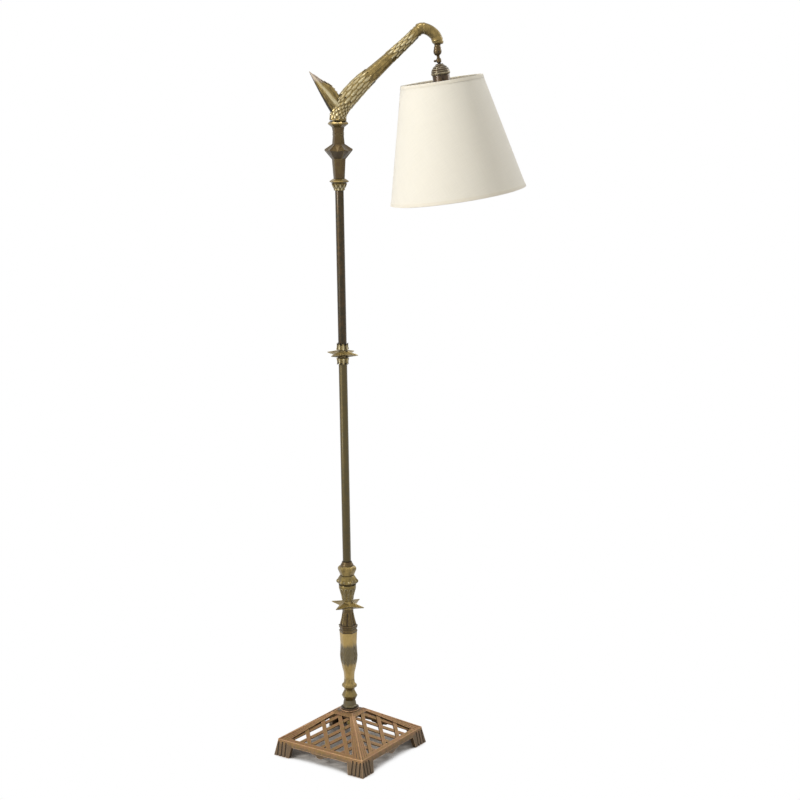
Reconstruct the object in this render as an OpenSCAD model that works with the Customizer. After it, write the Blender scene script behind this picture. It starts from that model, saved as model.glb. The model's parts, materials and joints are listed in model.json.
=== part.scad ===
// Bridge floor lamp: a pierced square foot, a stacked column, a swinging
// cast arm with a rear spur, and a tilting socket with a tapered fabric shade.
// The column axis stands off the frame's origin, which is the middle of the
// whole lamp's outline on the floor. +Z is up and +X points along the arm.

/* [Base] */
// Corner-to-corner half width of the base on the floor
base_reach = 180; // [165:1:200]
// Corner-to-corner half width at the top of the feet
base_shoulder = 169.5; // [158:0.5:178]
// Height of the feet
foot_h = 38; // [30:1:48]
// Width of one foot along each side
foot_w = 42; // [34:1:50]
// Wall of the hollow feet
foot_wall = 9; // [6:0.5:12]
// Height of the pierced pyramid above the feet
pyramid_h = 60; // [50:1:74]
// Half width of the flat top of the pyramid, corner to corner
pyramid_top = 30; // [27:0.5:36]
// Height of the round plinth on the pyramid
plinth_h = 6; // [3:0.5:10]
// Radius of the round plinth
plinth_r = 21; // [19:0.5:23]
// Thickness of the pyramid's walls
panel_t = 6; // [4.5:0.5:8]
// Depth of the rail between two feet
rail_h = 12; // [8:0.5:16]
// Width of the pendant in the middle of each rail
pendant_w = 52; // [36:1:64]
// Height of the pendant
pendant_h = 11; // [7:0.5:14]
// Width of the lattice's raised ribs
rib_w = 9; // [6:0.5:12]
// Distance between two ribs, along the side
rib_gap = 54; // [40:1:70]
// Width of the bars that cross under the ribs
bar_w = 8; // [5:0.5:10]
// Distance between two bars, along the side
bar_gap = 29; // [22:1:38]
// Depth of the boss under the pyramid's top
boss_h = 20; // [14:1:26]

/* [Column] */
// Outer diameter of the threaded pipe through the column
pipe_d = 10.2; // [9:0.1:12]
// Bore of the threaded pipe
pipe_bore = 6.2; // [5.4:0.1:7]
// Outer diameter of the plain tubes
tube_d = 19.05; // [17:0.05:24]
// Wall of the plain tubes
tube_wall = 1.2; // [0.8:0.1:2]
// Depth to which a tube sits in its cup
tube_seat = 4; // [2:0.5:6]
// Height of the collar on the base
foot_collar_h = 17; // [12:1:24]
// Height of the faceted knob
knob_h = 24; // [18:1:32]
// Height of the ringed collar under the baluster
ring_collar_h = 27; // [20:1:34]
// Height of the baluster
baluster_h = 114; // [90:1:140]
// Height of the ringed band over the baluster
band_h = 18; // [12:1:26]
// Height of the ribbed skirt
skirt_h = 37; // [28:1:46]
// Height of the lower star
lower_star_h = 21; // [14:1:28]
// Tip radius of the lower star
lower_star_r = 47.5; // [38:0.5:56]
// Height of the fluted vase
vase_h = 38; // [30:1:48]
// Height of the ring of bosses
boss_ring_h = 22; // [16:1:28]
// Height of the six-sided collar
hex_collar_h = 23; // [16:1:30]
// Height of the cup that holds the lower tube
tube_cup_h = 10; // [8:1:16]
// Length of the lower tube that shows
lower_tube_len = 463; // [380:1:540]
// Height of each leaf cup beside the middle star
calyx_h = 10; // [9:1:16]
// Height of the middle star
mid_star_h = 19; // [12:1:24]
// Tip radius of the middle star
mid_star_r = 44; // [36:0.5:52]
// Length of the upper tube that shows
upper_tube_len = 344; // [280:1:420]
// Height of the leafy capital
capital_h = 16; // [12:1:22]
// Height of the flange on the capital
lower_flange_h = 10; // [8:0.5:14]
// Height of the tapered six-sided shaft
shaft_h = 42; // [32:1:54]
// Height of the wide faceted collar
diamond_h = 33; // [26:1:42]
// Corner radius of the wide faceted collar
diamond_r = 31; // [26:0.5:34]
// Height of the waisted neck
neck_h = 36; // [28:1:46]
// Height of the flange under the arm
upper_flange_h = 14; // [10:1:18]

/* [Arm] */
// Distance from the column axis to the hanging axis of the shade
arm_reach = 223; // [200:1:240]
// Height of the arm's crest line above the arm's foot
arm_rise = 196; // [176:1:210]
// Half thickness of the arm at its foot
arm_root_r = 17.5; // [16:0.5:20]
// Half thickness of the arm at its crest
arm_crest_r = 12; // [10:0.5:14]
// Height of the pivot under the arm's crest line
pivot_drop = 51; // [48:1:60]
// Length of the rear spur
spur_len = 91; // [76:1:100]
// Lean of the rear spur from upright
spur_lean = 39; // [32:1:44]
// Half thickness of the rear spur where it leaves the arm
spur_r = 20; // [17:0.5:22]

/* [Swivel] */
// Outer radius of the swivel's round housing
housing_r = 9.2; // [9:0.1:10.5]
// Radius of the ball
ball_r = 6.1; // [5.8:0.1:6.3]
// Radius of the stem below the ball
stem_r = 3.4; // [3.2:0.1:3.8]
// Radius of the lead inside the lamp
lead_r = 2.2; // [1.8:0.1:2.3]
// Bore radius of the bush where the supply lead comes in
inlet_r = 2.6; // [2.3:0.1:2.9]

/* [Socket] */
// Distance from the pivot to the top of the socket cap
cap_drop = 26; // [24:0.5:32]
// Height of the socket cap
cap_h = 24; // [20:1:30]
// Radius of the socket's shell
shell_r = 19; // [18:0.5:21]
// Length of the socket's shell
shell_len = 56; // [52:1:64]
// Radius of the bulb's globe
bulb_r = 30; // [22:1:34]

/* [Shade] */
// Tilt of the shade at rest, its foot away from the column
shade_tilt = 8; // [2:1:14]
// Distance from the pivot to the top of the shade
shade_drop = 61; // [58:1:66]
// Height of the shade along its axis
shade_h = 256; // [230:1:280]
// Radius of the shade at its top
shade_top_r = 91; // [80:1:100]
// Radius of the shade at its foot
shade_foot_r = 152; // [140:1:158]
// Thickness of the laminated fabric
shade_wall = 1; // [0.8:0.1:2]
// Width of the trim at the shade's edges
hem_w = 7; // [5:0.5:12]
// Radius of the wire in the shade's frame
wire_r = 1.5; // [1.2:0.1:2.5]

/* [Hidden] */
$fn = 64;

brass = [0.62, 0.53, 0.30];
dark_brass = [0.33, 0.27, 0.14];
copper_brown = [0.55, 0.38, 0.25];
steel = [0.6, 0.6, 0.6];
ivory = [0.93, 0.90, 0.82];

// Clearances
bore_gap = 0.3;    // between a threaded pipe and a piece stacked on it
run_gap = 0.05;    // running fit of a turning shaft in its bore
joint_gap = 0.3;   // between faces of two bodies that move
seat_gap = 0.075;  // between a tube and the wall of its cup

// The base, seen in the square's own frame: side faces along X and Y
half_floor = base_reach / sqrt(2);
half_shoulder = base_shoulder / sqrt(2);
half_top = pyramid_top / sqrt(2);
pyramid_end = foot_h + pyramid_h;
base_top = pyramid_end + plinth_h;
panel_run = half_shoulder - half_top;
panel_slope = atan2(pyramid_h, panel_run);
panel_len = norm([panel_run, pyramid_h]);
foot_lean = atan2(half_floor - half_shoulder, foot_h);
strip_foot_w = 31;    // hip strip, along the side, at the foot
strip_top_w = 9;      // hip strip at the top
groove_w = 2.2;
groove_depth = 1.2;
flute_r = 2.6;
rail_t = 8;
relief = 1.5;         // how far the ribs lie below the hip strips, and the bars below the ribs
window_margin = 12;   // solid border at the top of a panel
groove_from = 3;      // where the grooves start, above the rail
groove_end = 9;       // and where they end, below the pyramid's top
foot_reach = 4;       // how far a rail goes into the feet
bar_shift = 1 / 3;    // place of the first bar, as a share of the gap; the ribs start half a gap out
lead_gap = 10;        // bare stretch at the pipe's foot, where the supply lead is brought in
pendant_t = 4.8;      // thickness of a pendant, which lies within its rail
pendant_lap = 1;      // how far it laps up the rail

// Heights up the column
z_foot_collar = base_top;
z_knob = z_foot_collar + foot_collar_h;
z_ring_collar = z_knob + knob_h;
z_baluster = z_ring_collar + ring_collar_h;
z_band = z_baluster + baluster_h;
z_skirt = z_band + band_h;
z_lower_star = z_skirt + skirt_h;
z_vase = z_lower_star + lower_star_h;
z_boss_ring = z_vase + vase_h;
z_hex_collar = z_boss_ring + boss_ring_h;
z_tube_cup = z_hex_collar + hex_collar_h;
z_lower_tube = z_tube_cup + tube_cup_h;
z_calyx_lower = z_lower_tube + lower_tube_len;
z_mid_star = z_calyx_lower + calyx_h;
z_calyx_upper = z_mid_star + mid_star_h;
z_upper_tube = z_calyx_upper + calyx_h;
z_capital = z_upper_tube + upper_tube_len;
z_lower_flange = z_capital + capital_h;
z_shaft = z_lower_flange + lower_flange_h;
z_diamond = z_shaft + shaft_h;
z_neck = z_diamond + diamond_h;
z_upper_flange = z_neck + neck_h;
z_arm = z_upper_flange + upper_flange_h;

pipe_r = pipe_d / 2;
pipe_hole_r = pipe_r + bore_gap;
tube_r = tube_d / 2;
washer_t = 2;
washer_r = 14;
nut_h = 6;
nut_r = pipe_r + 4.7;      // corner radius of the hexagon nuts
pipe_tail = 4;             // pipe below the lock nut
bush_grip = 3;             // how far the inlet bush goes up the pipe
bush_h = 13;
bush_r = pipe_r + 2.7;
z_boss = base_top - boss_h;
z_pipe = z_boss - washer_t - nut_h - pipe_tail;
thin_nut_h = 5;
pivot_bush_h = 18;
pivot_bush_r = pipe_r + 2.9;
nut_pocket_h = thin_nut_h + 1;
z_pivot_bush = z_arm + nut_pocket_h;
z_pipe_top = z_pivot_bush + pivot_bush_h - 2;
swing_screw_z = z_pivot_bush + 10;
swing_screw_r = 1.6;
pipe_groove_r = pipe_r - 0.8;
cup_r = tube_r + 3;

// The arm's outline: [share of the reach, share of the rise, half thickness,
// half width], from the foot to the crest
arm_outline = [
    [0.000, 0.000, arm_root_r, arm_root_r],
    [0.006, 0.070, arm_root_r - 0.3, arm_root_r - 0.3],
    [0.050, 0.170, arm_root_r + 0.8, arm_root_r],
    [0.140, 0.290, arm_root_r + 1.3, arm_root_r],
    [0.245, 0.410, arm_root_r + 0.3, arm_root_r - 0.5],
    [0.365, 0.525, arm_root_r - 2.2, arm_root_r - 2.7],
    [0.570, 0.730, arm_crest_r, arm_crest_r],
    [0.700, 0.860, arm_crest_r - 1.2, arm_crest_r - 1],
    [0.775, 0.942, arm_crest_r - 0.8, arm_crest_r - 0.6],
    [0.838, 1.000, arm_crest_r, arm_crest_r]
];
crest_z = z_arm + arm_rise;
pivot_x = arm_reach;
pivot_z = crest_z - pivot_drop;
crest_x = 0.838 * arm_reach;
crest_turn = 8;         // direction of the arm's line at the crest
nozzle_h = 6.5;
nozzle_r = 7.6;
neck_end_r = 9.5;
housing_top = 10.3;     // top of the swivel housing above the pivot
z_nozzle = pivot_z + housing_top;
z_neck_end = z_nozzle + nozzle_h;
channel_r = lead_r + 0.5;
sweep_sides = 16;
lead_sides = 8;

// Swivel
cavity_r = ball_r + joint_gap;
spigot_r = cavity_r - 0.1;
spigot_len = 3.4;
slot_half = stem_r + 0.5;
trunnion_r = 1.5;
trunnion_reach = 4;      // tip of a trunnion screw from the pivot
stem_bore_r = lead_r + 0.3;
stem_len = cap_drop + 5;
collar_drop = 14;
collar_h = 10;
collar_r = 5.6;

// Socket, measured down from the pivot along its own axis
cap_end = cap_drop + cap_h;
skirt_r = shell_r + 1;
shell_t = 0.8;
shell_top = cap_end - 6;
shell_end = shell_top + shell_len;
sleeve_r = shell_r - shell_t - 0.1;
sleeve_t = 0.7;
core_r = sleeve_r - sleeve_t - 0.3;
core_top = cap_end + 6;
core_h = 24;
core_end = core_top + core_h;
key_drop = core_top + 12;
key_r = 1.6;
thread_r = 13.3;
thread_t = 0.5;
bulb_base_r = thread_r - 0.2;
bead_drop = shell_end - 11;
fitter_t = 3;
fitter_drop = bead_drop + 2;
fitter_r = shell_r + 4;
bulb_neck = core_end + 24;
globe_drop = bulb_neck + 16 + bulb_r;
shade_end = shade_drop + shade_h;
shade_slope = (shade_foot_r - shade_top_r) / shade_h;
hem_t = 0.6;
spoke_turns = [-30, 90, 210];   // the switch key stands opposite the middle spoke

// Outline of the whole lamp along X, from the column axis
tilt_x = sin(shade_tilt);
tilt_z = cos(shade_tilt);
reach_front = pivot_x + shade_end * tilt_x + (shade_foot_r + hem_t) * tilt_z;
column_x = -(reach_front - base_reach) / 2;

module at_column() {
    translate([column_x, 0, 0]) children();
}

module at_pivot() {
    at_column() translate([pivot_x, 0, pivot_z]) children();
}

module at_head() {
    at_pivot() rotate([0, -shade_tilt, 0]) children();
}

// A hexagon or square "turned" to a profile of [height, corner radius]:
// flat slabs of that profile, each turned by the same step, kept where they
// all meet, so that every face is plane and every corner is a true mitre
module mitred(sides, profile, turn) {
    flat = cos(180 / sides);
    right = [for (p = profile) [p[1] * flat, p[0]]];
    left = [for (i = [len(profile) - 1:-1:0]) [-profile[i][1] * flat, profile[i][0]]];
    reach = max([for (p = profile) p[1]]) * 2.2;
    intersection_for (k = [0:sides / 2 - 1])
        rotate([0, 0, turn + k * 360 / sides]) rotate([90, 0, 0])
            linear_extrude(height = reach, center = true) polygon(concat(right, left));
}

module turned(profile) {
    low = profile[0][0];
    high = profile[len(profile) - 1][0];
    rotate_extrude() polygon(concat([[0, low]], [for (p = profile) [p[1], p[0]]], [[0, high]]));
}

module pipe_hole(h) {
    translate([0, 0, -1]) cylinder(r = pipe_hole_r, h = h + 2);
}

// Place for a piece of the column, with the hole for the threaded pipe
module stacked(z, h) {
    at_column() translate([0, 0, z]) difference() {
        children();
        pipe_hole(h);
    }
}

hex_turn = 15;

// ---------------------------------------------------------------- base

module panel_outline() {
    polygon([[-half_shoulder, 0], [half_shoulder, 0], [half_top, panel_len], [-half_top, panel_len]]);
}

module panel_window() {
    edge = half_shoulder - strip_foot_w;
    top_edge = half_top - strip_top_w + window_margin * panel_run / panel_len;
    polygon([[-edge, rail_t], [edge, rail_t],
        [top_edge, panel_len - window_margin], [-top_edge, panel_len - window_margin]]);
}

// Grooves down one hip strip, narrowing towards the top
module strip_grooves() {
    for (side = [-1, 1], n = [1:3]) {
        low = half_shoulder - strip_foot_w * n / 4;
        high = half_top - strip_top_w * n / 4 + groove_end * panel_run / panel_len;
        polygon([[side * (low - groove_w / 2), groove_from], [side * (low + groove_w / 2), groove_from],
            [side * high, panel_len - groove_end]]);
    }
}

// Parallel bars that lean like one hip of the panel; the shift is a share of their gap
module bars(side, width, gap, shift) {
    lean = atan2(panel_run, panel_len);
    for (n = [-4:4])
        translate([side * (n + shift) * gap, 0]) rotate(side * lean)
            translate([-width / 2, -panel_len]) square([width, panel_len * 3]);
}

// One side of the pyramid: ribs lean with one hip, bars cross them with the other
module panel(side) {
    translate([0, -half_shoulder, foot_h]) rotate([panel_slope, 0, 0]) {
        translate([0, 0, -panel_t]) linear_extrude(panel_t - groove_depth) difference() {
            panel_outline();
            panel_window();
        }
        translate([0, 0, -groove_depth]) linear_extrude(groove_depth) difference() {
            panel_outline();
            panel_window();
            strip_grooves();
        }
        translate([0, 0, -panel_t]) linear_extrude(panel_t - relief) intersection() {
            panel_window();
            bars(side, rib_w, rib_gap, 1 / 2);
        }
        translate([0, 0, -panel_t]) linear_extrude(panel_t - 2 * relief) intersection() {
            panel_window();
            bars(-side, bar_w, bar_gap, bar_shift);
        }
    }
}

// Half of the pendant's outline, as shares of its half width and height, and the other half
pendant_half = [[-1, 0], [-0.8, -0.4], [-0.4, -0.5], [-0.3, -0.85], [-0.12, -1]];
pendant_mirrored = [for (i = [len(pendant_half) - 1:-1:0]) [-pendant_half[i][0], pendant_half[i][1]]];

module rail() {
    span = 2 * half_shoulder;
    slant = (half_floor - half_shoulder) / foot_h;
    low = foot_h - rail_h;
    low_y = -half_shoulder - rail_h * slant;
    rotate([90, 0, 90]) linear_extrude(span - 2 * (foot_w - foot_reach), center = true)
        polygon([[low_y, low], [-half_shoulder, foot_h], [-half_shoulder + rail_t, foot_h],
            [low_y + rail_t, low]]);
    translate([0, low_y + (rail_t + pendant_t) / 2, low + pendant_lap]) rotate([90, 0, 0])
        linear_extrude(pendant_t) polygon([for (p = concat(pendant_half, pendant_mirrored))
            [p[0] * pendant_w / 2, p[1] * pendant_h]]);
}

// One leaning side of a foot between two heights, set in from its outer face by a depth
module foot_slab(depth, low, high) {
    slant = (half_floor - half_shoulder) / foot_h;
    rotate([90, 0, 0]) linear_extrude(2 * half_floor, center = true)
        polygon([for (p = [[foot_w, low], [0, low], [0, high], [foot_w, high]])
            [half_floor - depth - p[0] - p[1] * slant, p[1]]]);
}

// A leaning block, made where two slanted slabs cross
module foot_block(depth, low, high) {
    intersection() {
        foot_slab(depth, low, high);
        rotate([0, 0, 90]) foot_slab(depth, low, high);
    }
}

module foot_flutes() {
    for (n = [1:3])
        translate([half_floor, half_floor - foot_w * n / 4, 0]) rotate([0, -foot_lean, 0])
            translate([0, 0, -2]) cylinder(r = flute_r, h = foot_h * 0.95);
}

module foot() {
    difference() {
        foot_block(0, 0, foot_h);
        foot_block(foot_wall, -1, foot_h + 1);
        foot_flutes();
        mirror([1, -1, 0]) foot_flutes();
    }
}

module base_casting() {
    color(copper_brown) at_column() difference() {
        rotate([0, 0, 45]) union() {
            for (k = [0:3]) rotate([0, 0, 90 * k]) {
                panel(k % 2 == 0 ? -1 : 1);
                rail();
                foot();
            }
            translate([-half_top, -half_top, z_boss])
                cube([2 * half_top, 2 * half_top, pyramid_end - z_boss]);
            translate([0, 0, pyramid_end - 1]) cylinder(r = plinth_r, h = plinth_h + 1);
        }
        translate([0, 0, z_boss]) pipe_hole(boss_h);
    }
}

module base_washer() {
    color(steel) stacked(z_boss - washer_t, washer_t) cylinder(r = washer_r, h = washer_t);
}

module base_lock_nut() {
    color(steel) stacked(z_boss - washer_t - nut_h, nut_h) cylinder(r = nut_r, h = nut_h, $fn = 6);
}

module inlet_bush() {
    color(brass) at_column() translate([0, 0, z_pipe + bush_grip - bush_h]) difference() {
        cylinder(r = bush_r, h = bush_h);
        translate([0, 0, bush_h - bush_grip]) cylinder(r = pipe_r + run_gap, h = bush_grip + 1);
        translate([0, 0, -1]) cylinder(r = inlet_r, h = bush_h + 1);
    }
}

// ---------------------------------------------------------------- column

module centre_pipe() {
    color(steel) at_column() difference() {
        translate([0, 0, z_pipe]) cylinder(r = pipe_r, h = z_pipe_top - z_pipe);
        translate([0, 0, z_pipe - 1]) cylinder(r = pipe_bore / 2, h = z_pipe_top - z_pipe + 2);
        translate([0, 0, swing_screw_z - 2]) difference() {
            cylinder(r = pipe_r + 1, h = 4);
            translate([0, 0, -1]) cylinder(r = pipe_groove_r, h = 6);
        }
    }
}

module foot_collar() {
    color(dark_brass) stacked(z_foot_collar, foot_collar_h)
        mitred(6, [[0, 18], [3, 18], [5, 15.5], [foot_collar_h - 4, 14.5], [foot_collar_h, 13]], hex_turn);
}

module diamond_knob() {
    color(brass) stacked(z_knob, knob_h)
        mitred(6, [[0, 13], [knob_h * 0.45, 18.6], [knob_h, 12.1]], hex_turn);
}

module ring_collar() {
    color(brass) stacked(z_ring_collar, ring_collar_h)
        mitred(6, [[0, 12], [4, 12.5], [ring_collar_h * 0.3, 17.6], [ring_collar_h * 0.5, 17.6],
            [ring_collar_h * 0.68, 13], [ring_collar_h, 12]], hex_turn);
}

module baluster() {
    h = baluster_h;
    color(brass) stacked(z_baluster, h)
        mitred(6, [[0, 12], [h * 0.07, 12.2], [h * 0.14, 12.9], [h * 0.23, 15.5], [h * 0.31, 17.4],
            [h * 0.4, 19.5], [h * 0.5, 20.6], [h * 0.6, 19.8], [h * 0.76, 19], [h * 0.92, 20],
            [h, 20.4]], hex_turn);
}

module ringed_band() {
    h = band_h;
    color(dark_brass) stacked(z_band, h)
        mitred(6, [[0, 20.4], [h * 0.16, 21], [h * 0.3, 21], [h * 0.38, 19.6], [h * 0.52, 19.6],
            [h * 0.6, 21], [h * 0.74, 21], [h * 0.92, 22.6], [h, 21.5]], hex_turn);
}

module ribbed_skirt() {
    h = skirt_h;
    color(dark_brass) stacked(z_skirt, h) difference() {
        mitred(6, [[0, 19.6], [h * 0.43, 15.4], [h * 0.85, 12.7], [h, 12.6]], hex_turn);
        for (k = [0:5]) rotate([0, 0, hex_turn + 60 * k + 60]) translate([20.5 * cos(30), 0, -1])
            rotate([0, -13, 0]) cylinder(r = 2, h = h * 0.8, $fn = 24);
    }
}

// A flat star with a raised ridge down each point
module star(tip_r, hub_r, notch_r, h) {
    points = [for (k = [0:3], p = [[tip_r, 90 * k + 45], [notch_r, 90 * k + 90]])
        [p[0] * cos(p[1]), p[0] * sin(p[1]), 0]];
    faces = [for (i = [0:7]) each [[i, 8, (i + 1) % 8], [(i + 1) % 8, 9, i]]];
    polyhedron(points = concat(points, [[0, 0, h / 2], [0, 0, -h / 2]]), faces = faces);
    intersection() {
        cylinder(r = hub_r, h = h, center = true);
        mitred(6, [[-h / 2, hub_r * 0.9], [0, hub_r * 1.05], [h / 2, hub_r * 0.9]], hex_turn);
    }
}

module lower_star() {
    color(brass) stacked(z_lower_star, lower_star_h) translate([0, 0, lower_star_h / 2])
        star(lower_star_r, 14.5, 20, lower_star_h);
}

module fluted_vase() {
    h = vase_h;
    color(dark_brass) stacked(z_vase, h) difference() {
        turned([[0, 12.6], [h * 0.25, 13.5], [h * 0.55, 16.5], [h * 0.85, 19.8], [h, 19.8]]);
        for (k = [0:9]) rotate([0, 0, 36 * k]) translate([14.6, 0, h * 0.12])
            rotate([0, 12, 0]) cylinder(r = 2.4, h = h * 0.7, $fn = 24);
    }
}

module boss_ring() {
    h = boss_ring_h;
    color(brass) stacked(z_boss_ring, h) {
        mitred(6, [[0, 19.8], [h * 0.2, 22.5], [h * 0.6, 22.5], [h, 17]], hex_turn);
        for (k = [0:5]) rotate([0, 0, hex_turn - 30 + 60 * k]) translate([20.5, 0, h * 0.38])
            sphere(r = 5, $fn = 32);
    }
}

module hex_collar() {
    h = hex_collar_h;
    color(brass) stacked(z_hex_collar, h)
        mitred(6, [[0, 16], [h * 0.15, 17], [h * 0.62, 21.5], [h * 0.8, 21.5], [h, 18]], hex_turn);
}

module tube_recess(z) {
    translate([0, 0, z]) cylinder(r = tube_r + seat_gap, h = tube_seat + 1);
}

module tube_cup() {
    color(dark_brass) stacked(z_tube_cup, tube_cup_h) difference() {
        turned([[0, 15.5], [tube_cup_h * 0.35, 14.5], [tube_cup_h * 0.6, cup_r], [tube_cup_h, cup_r - 1]]);
        tube_recess(tube_cup_h - tube_seat);
    }
}

module plain_tube(z, length) {
    color(dark_brass) at_column() translate([0, 0, z - tube_seat]) difference() {
        cylinder(r = tube_r, h = length + 2 * tube_seat);
        translate([0, 0, -1]) cylinder(r = tube_r - tube_wall, h = length + 2 * tube_seat + 2);
    }
}

module lower_tube() {
    plain_tube(z_lower_tube, lower_tube_len);
}

module upper_tube() {
    plain_tube(z_upper_tube, upper_tube_len);
}

// A leaf cup that stands on the middle star, with the tube in its far end
module calyx() {
    difference() {
        turned([[0, cup_r], [calyx_h * 0.5, cup_r - 0.4], [calyx_h, cup_r - 1.4]]);
        for (k = [0:7]) rotate([0, 0, 45 * k]) translate([cup_r + 1, 0, calyx_h * 0.4])
            cylinder(r = 2, h = calyx_h, $fn = 24);
        tube_recess(calyx_h - tube_seat);
    }
}

module mid_calyx_lower() {
    color(brass) stacked(z_calyx_lower, calyx_h)
        translate([0, 0, calyx_h]) mirror([0, 0, 1]) calyx();
}

module mid_star() {
    color(brass) stacked(z_mid_star, mid_star_h) translate([0, 0, mid_star_h / 2])
        star(mid_star_r, 13, 19, mid_star_h);
}

module mid_calyx_upper() {
    color(brass) stacked(z_calyx_upper, calyx_h) calyx();
}

module capital() {
    h = capital_h;
    color(brass) stacked(z_capital, h) difference() {
        turned([[0, cup_r - 1.4], [h * 0.25, 11.5], [h * 0.6, 14.5], [h, 16]]);
        for (k = [0:7]) rotate([0, 0, 45 * k]) translate([14.2, 0, h * 0.1])
            rotate([0, 14, 0]) cylinder(r = 2, h = h * 0.6, $fn = 24);
        tube_recess(-1);
    }
}

module lower_flange() {
    h = lower_flange_h;
    color(brass) stacked(z_lower_flange, h)
        mitred(6, [[0, 16], [h * 0.3, 21.5], [h * 0.45, 21.5], [h, 13]], hex_turn);
}

module tapered_shaft() {
    color(dark_brass) stacked(z_shaft, shaft_h)
        mitred(6, [[0, 12.5], [shaft_h, 15.2]], hex_turn);
}

module diamond_collar() {
    h = diamond_h;
    color(dark_brass) stacked(z_diamond, h)
        mitred(6, [[0, 15.2], [h * 0.58, diamond_r], [h * 0.66, diamond_r], [h, 14]], hex_turn);
}

module waisted_neck() {
    h = neck_h;
    color(dark_brass) stacked(z_neck, h)
        mitred(6, [[0, 14], [h * 0.5, 12.3], [h * 0.55, 12.9], [h * 0.6, 12.3], [h * 0.66, 12.9],
            [h * 0.72, 12.3], [h, 13.8]], hex_turn);
}

module upper_flange() {
    h = upper_flange_h;
    color(brass) stacked(z_upper_flange, h)
        mitred(6, [[0, 13.8], [h * 0.5, 22.5], [h * 0.64, 22.5], [h, 17.5]], hex_turn);
}

module neck_lock_nut() {
    color(steel) stacked(z_arm, thin_nut_h) cylinder(r = nut_r, h = thin_nut_h, $fn = 6);
}

module column_lead() {
    low = z_pipe + lead_gap;
    color("saddlebrown") at_column() translate([0, 0, low])
        cylinder(r = lead_r, h = z_pipe_top - low, $fn = 32);
}

// ---------------------------------------------------------------- arm

// Stations of a sweep in the XZ plane: [x, z, half thickness, half width]
function arm_station(p) = [p[0] * arm_reach, z_arm + p[1] * arm_rise, p[2], p[3]];
arm_stations = [for (p = arm_outline) arm_station(p)];
crest = arm_stations[len(arm_stations) - 1];
neck_mid_r = (arm_crest_r + neck_end_r) / 2 + 1.2;
neck_stations = [
    crest,
    [crest[0] + 0.45 * (pivot_x - crest[0]), crest[1] - 0.12 * (crest[1] - z_neck_end), arm_crest_r + 0.2, arm_crest_r],
    [crest[0] + 0.83 * (pivot_x - crest[0]), crest[1] - 0.42 * (crest[1] - z_neck_end), arm_crest_r + 0.2, arm_crest_r],
    [pivot_x, crest[1] - 0.78 * (crest[1] - z_neck_end), neck_mid_r, neck_mid_r],
    [pivot_x, z_neck_end, neck_end_r, neck_end_r]
];

// One point of a smooth curve through four neighbours
function smooth(a, b, c, d, t) = 0.5 * (2 * b + (c - a) * t + (2 * a - 5 * b + 4 * c - d) * t * t
    + (3 * b - a - 3 * c + d) * t * t * t);
function before(s, i) = i > 0 ? s[i - 1] : 2 * s[0] - s[1];
function after(s, i) = i + 2 < len(s) ? s[i + 2] : 2 * s[len(s) - 1] - s[len(s) - 2];
function refine(s, steps) = concat(
    [for (i = [0:len(s) - 2], k = [0:steps - 1]) smooth(before(s, i), s[i], s[i + 1], after(s, i), k / steps)],
    [s[len(s) - 1]]);

// The curve's direction at each station, with set directions at its two ends
function headings(s, first, last) = [for (i = [0:len(s) - 1])
    i == 0 ? first : i == len(s) - 1 ? last
        : atan2(s[i + 1][1] - s[i - 1][1], s[i + 1][0] - s[i - 1][0])];
function loop_points(s, dir, t, w, sides) = [for (k = [0:sides - 1])
    let (a = 360 * k / sides)
    [s[0] - t * cos(a) * sin(dir), w * sin(a), s[1] + t * cos(a) * cos(dir)]];

// A closed bar swept through the stations, or a tube where bore is above 0
module sweep(s, first, last, sides, bore = 0) {
    dirs = headings(s, first, last);
    count = len(s);
    outer = [for (i = [0:count - 1]) each loop_points(s[i], dirs[i], s[i][2], s[i][3], sides)];
    inner = [for (i = [0:count - 1]) each loop_points(s[i], dirs[i], bore, bore, sides)];
    shift = count * sides;
    wall = [for (i = [0:count - 2], k = [0:sides - 1])
        let (a = i * sides + k, b = i * sides + (k + 1) % sides)
        each [[a, b + sides, b], [a, a + sides, b + sides]]];
    lining = [for (f = wall) [f[0] + shift, f[2] + shift, f[1] + shift]];
    rims = [for (k = [0:sides - 1], end = [0, count - 1])
        let (a = end * sides + k, b = end * sides + (k + 1) % sides)
        each end == 0 ? [[a, b, b + shift], [a, b + shift, a + shift]]
            : [[b, a, b + shift], [b + shift, a, a + shift]]];
    caps = [[for (k = [0:sides - 1]) k], [for (k = [sides - 1:-1:0]) (count - 1) * sides + k]];
    polyhedron(points = bore > 0 ? concat(outer, inner) : outer,
        faces = bore > 0 ? concat(wall, lining, rims) : concat(wall, caps));
}

// The rear spur: a pointed horn whose foot is cut round to seat on the arm
module arm_spur() {
    seat_from = arm_stations[1];
    seat_to = arm_stations[3];
    seat_turn = atan2(seat_to[0] - seat_from[0], seat_to[1] - seat_from[1]);
    foot_at = (seat_from + seat_to) / 2 - [19.5, 0, 0, 0];
    shares = [[0, 1, 0.62], [0.33, 0.72, 0.52], [0.66, 0.4, 0.35], [1, 0.04, 0.04]];
    stations = [for (p = shares) [foot_at[0] - sin(spur_lean) * p[0] * spur_len,
        foot_at[1] + cos(spur_lean) * p[0] * spur_len, p[1] * spur_r, p[2] * spur_r]];
    color(brass) at_column() difference() {
        sweep(refine(stations, 3), 90 + spur_lean, 90 + spur_lean, sweep_sides);
        translate([seat_from[0], 0, seat_from[1]]) rotate([0, seat_turn, 0])
            cylinder(r = arm_root_r + 0.4, h = 2 * spur_len, center = true);
    }
}

// Where the lead leaves the pipe and where it joins the channel in the arm
lead_from = [0.3, z_pipe_top + 0.5];
lead_into = [for (s = refine(arm_stations, 2)) if (s[1] > lead_from[1] + 4) [s[0], s[1]]][0];
lead_bend = atan2(lead_into[0] - lead_from[0], lead_into[1] - lead_from[1]);

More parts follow.
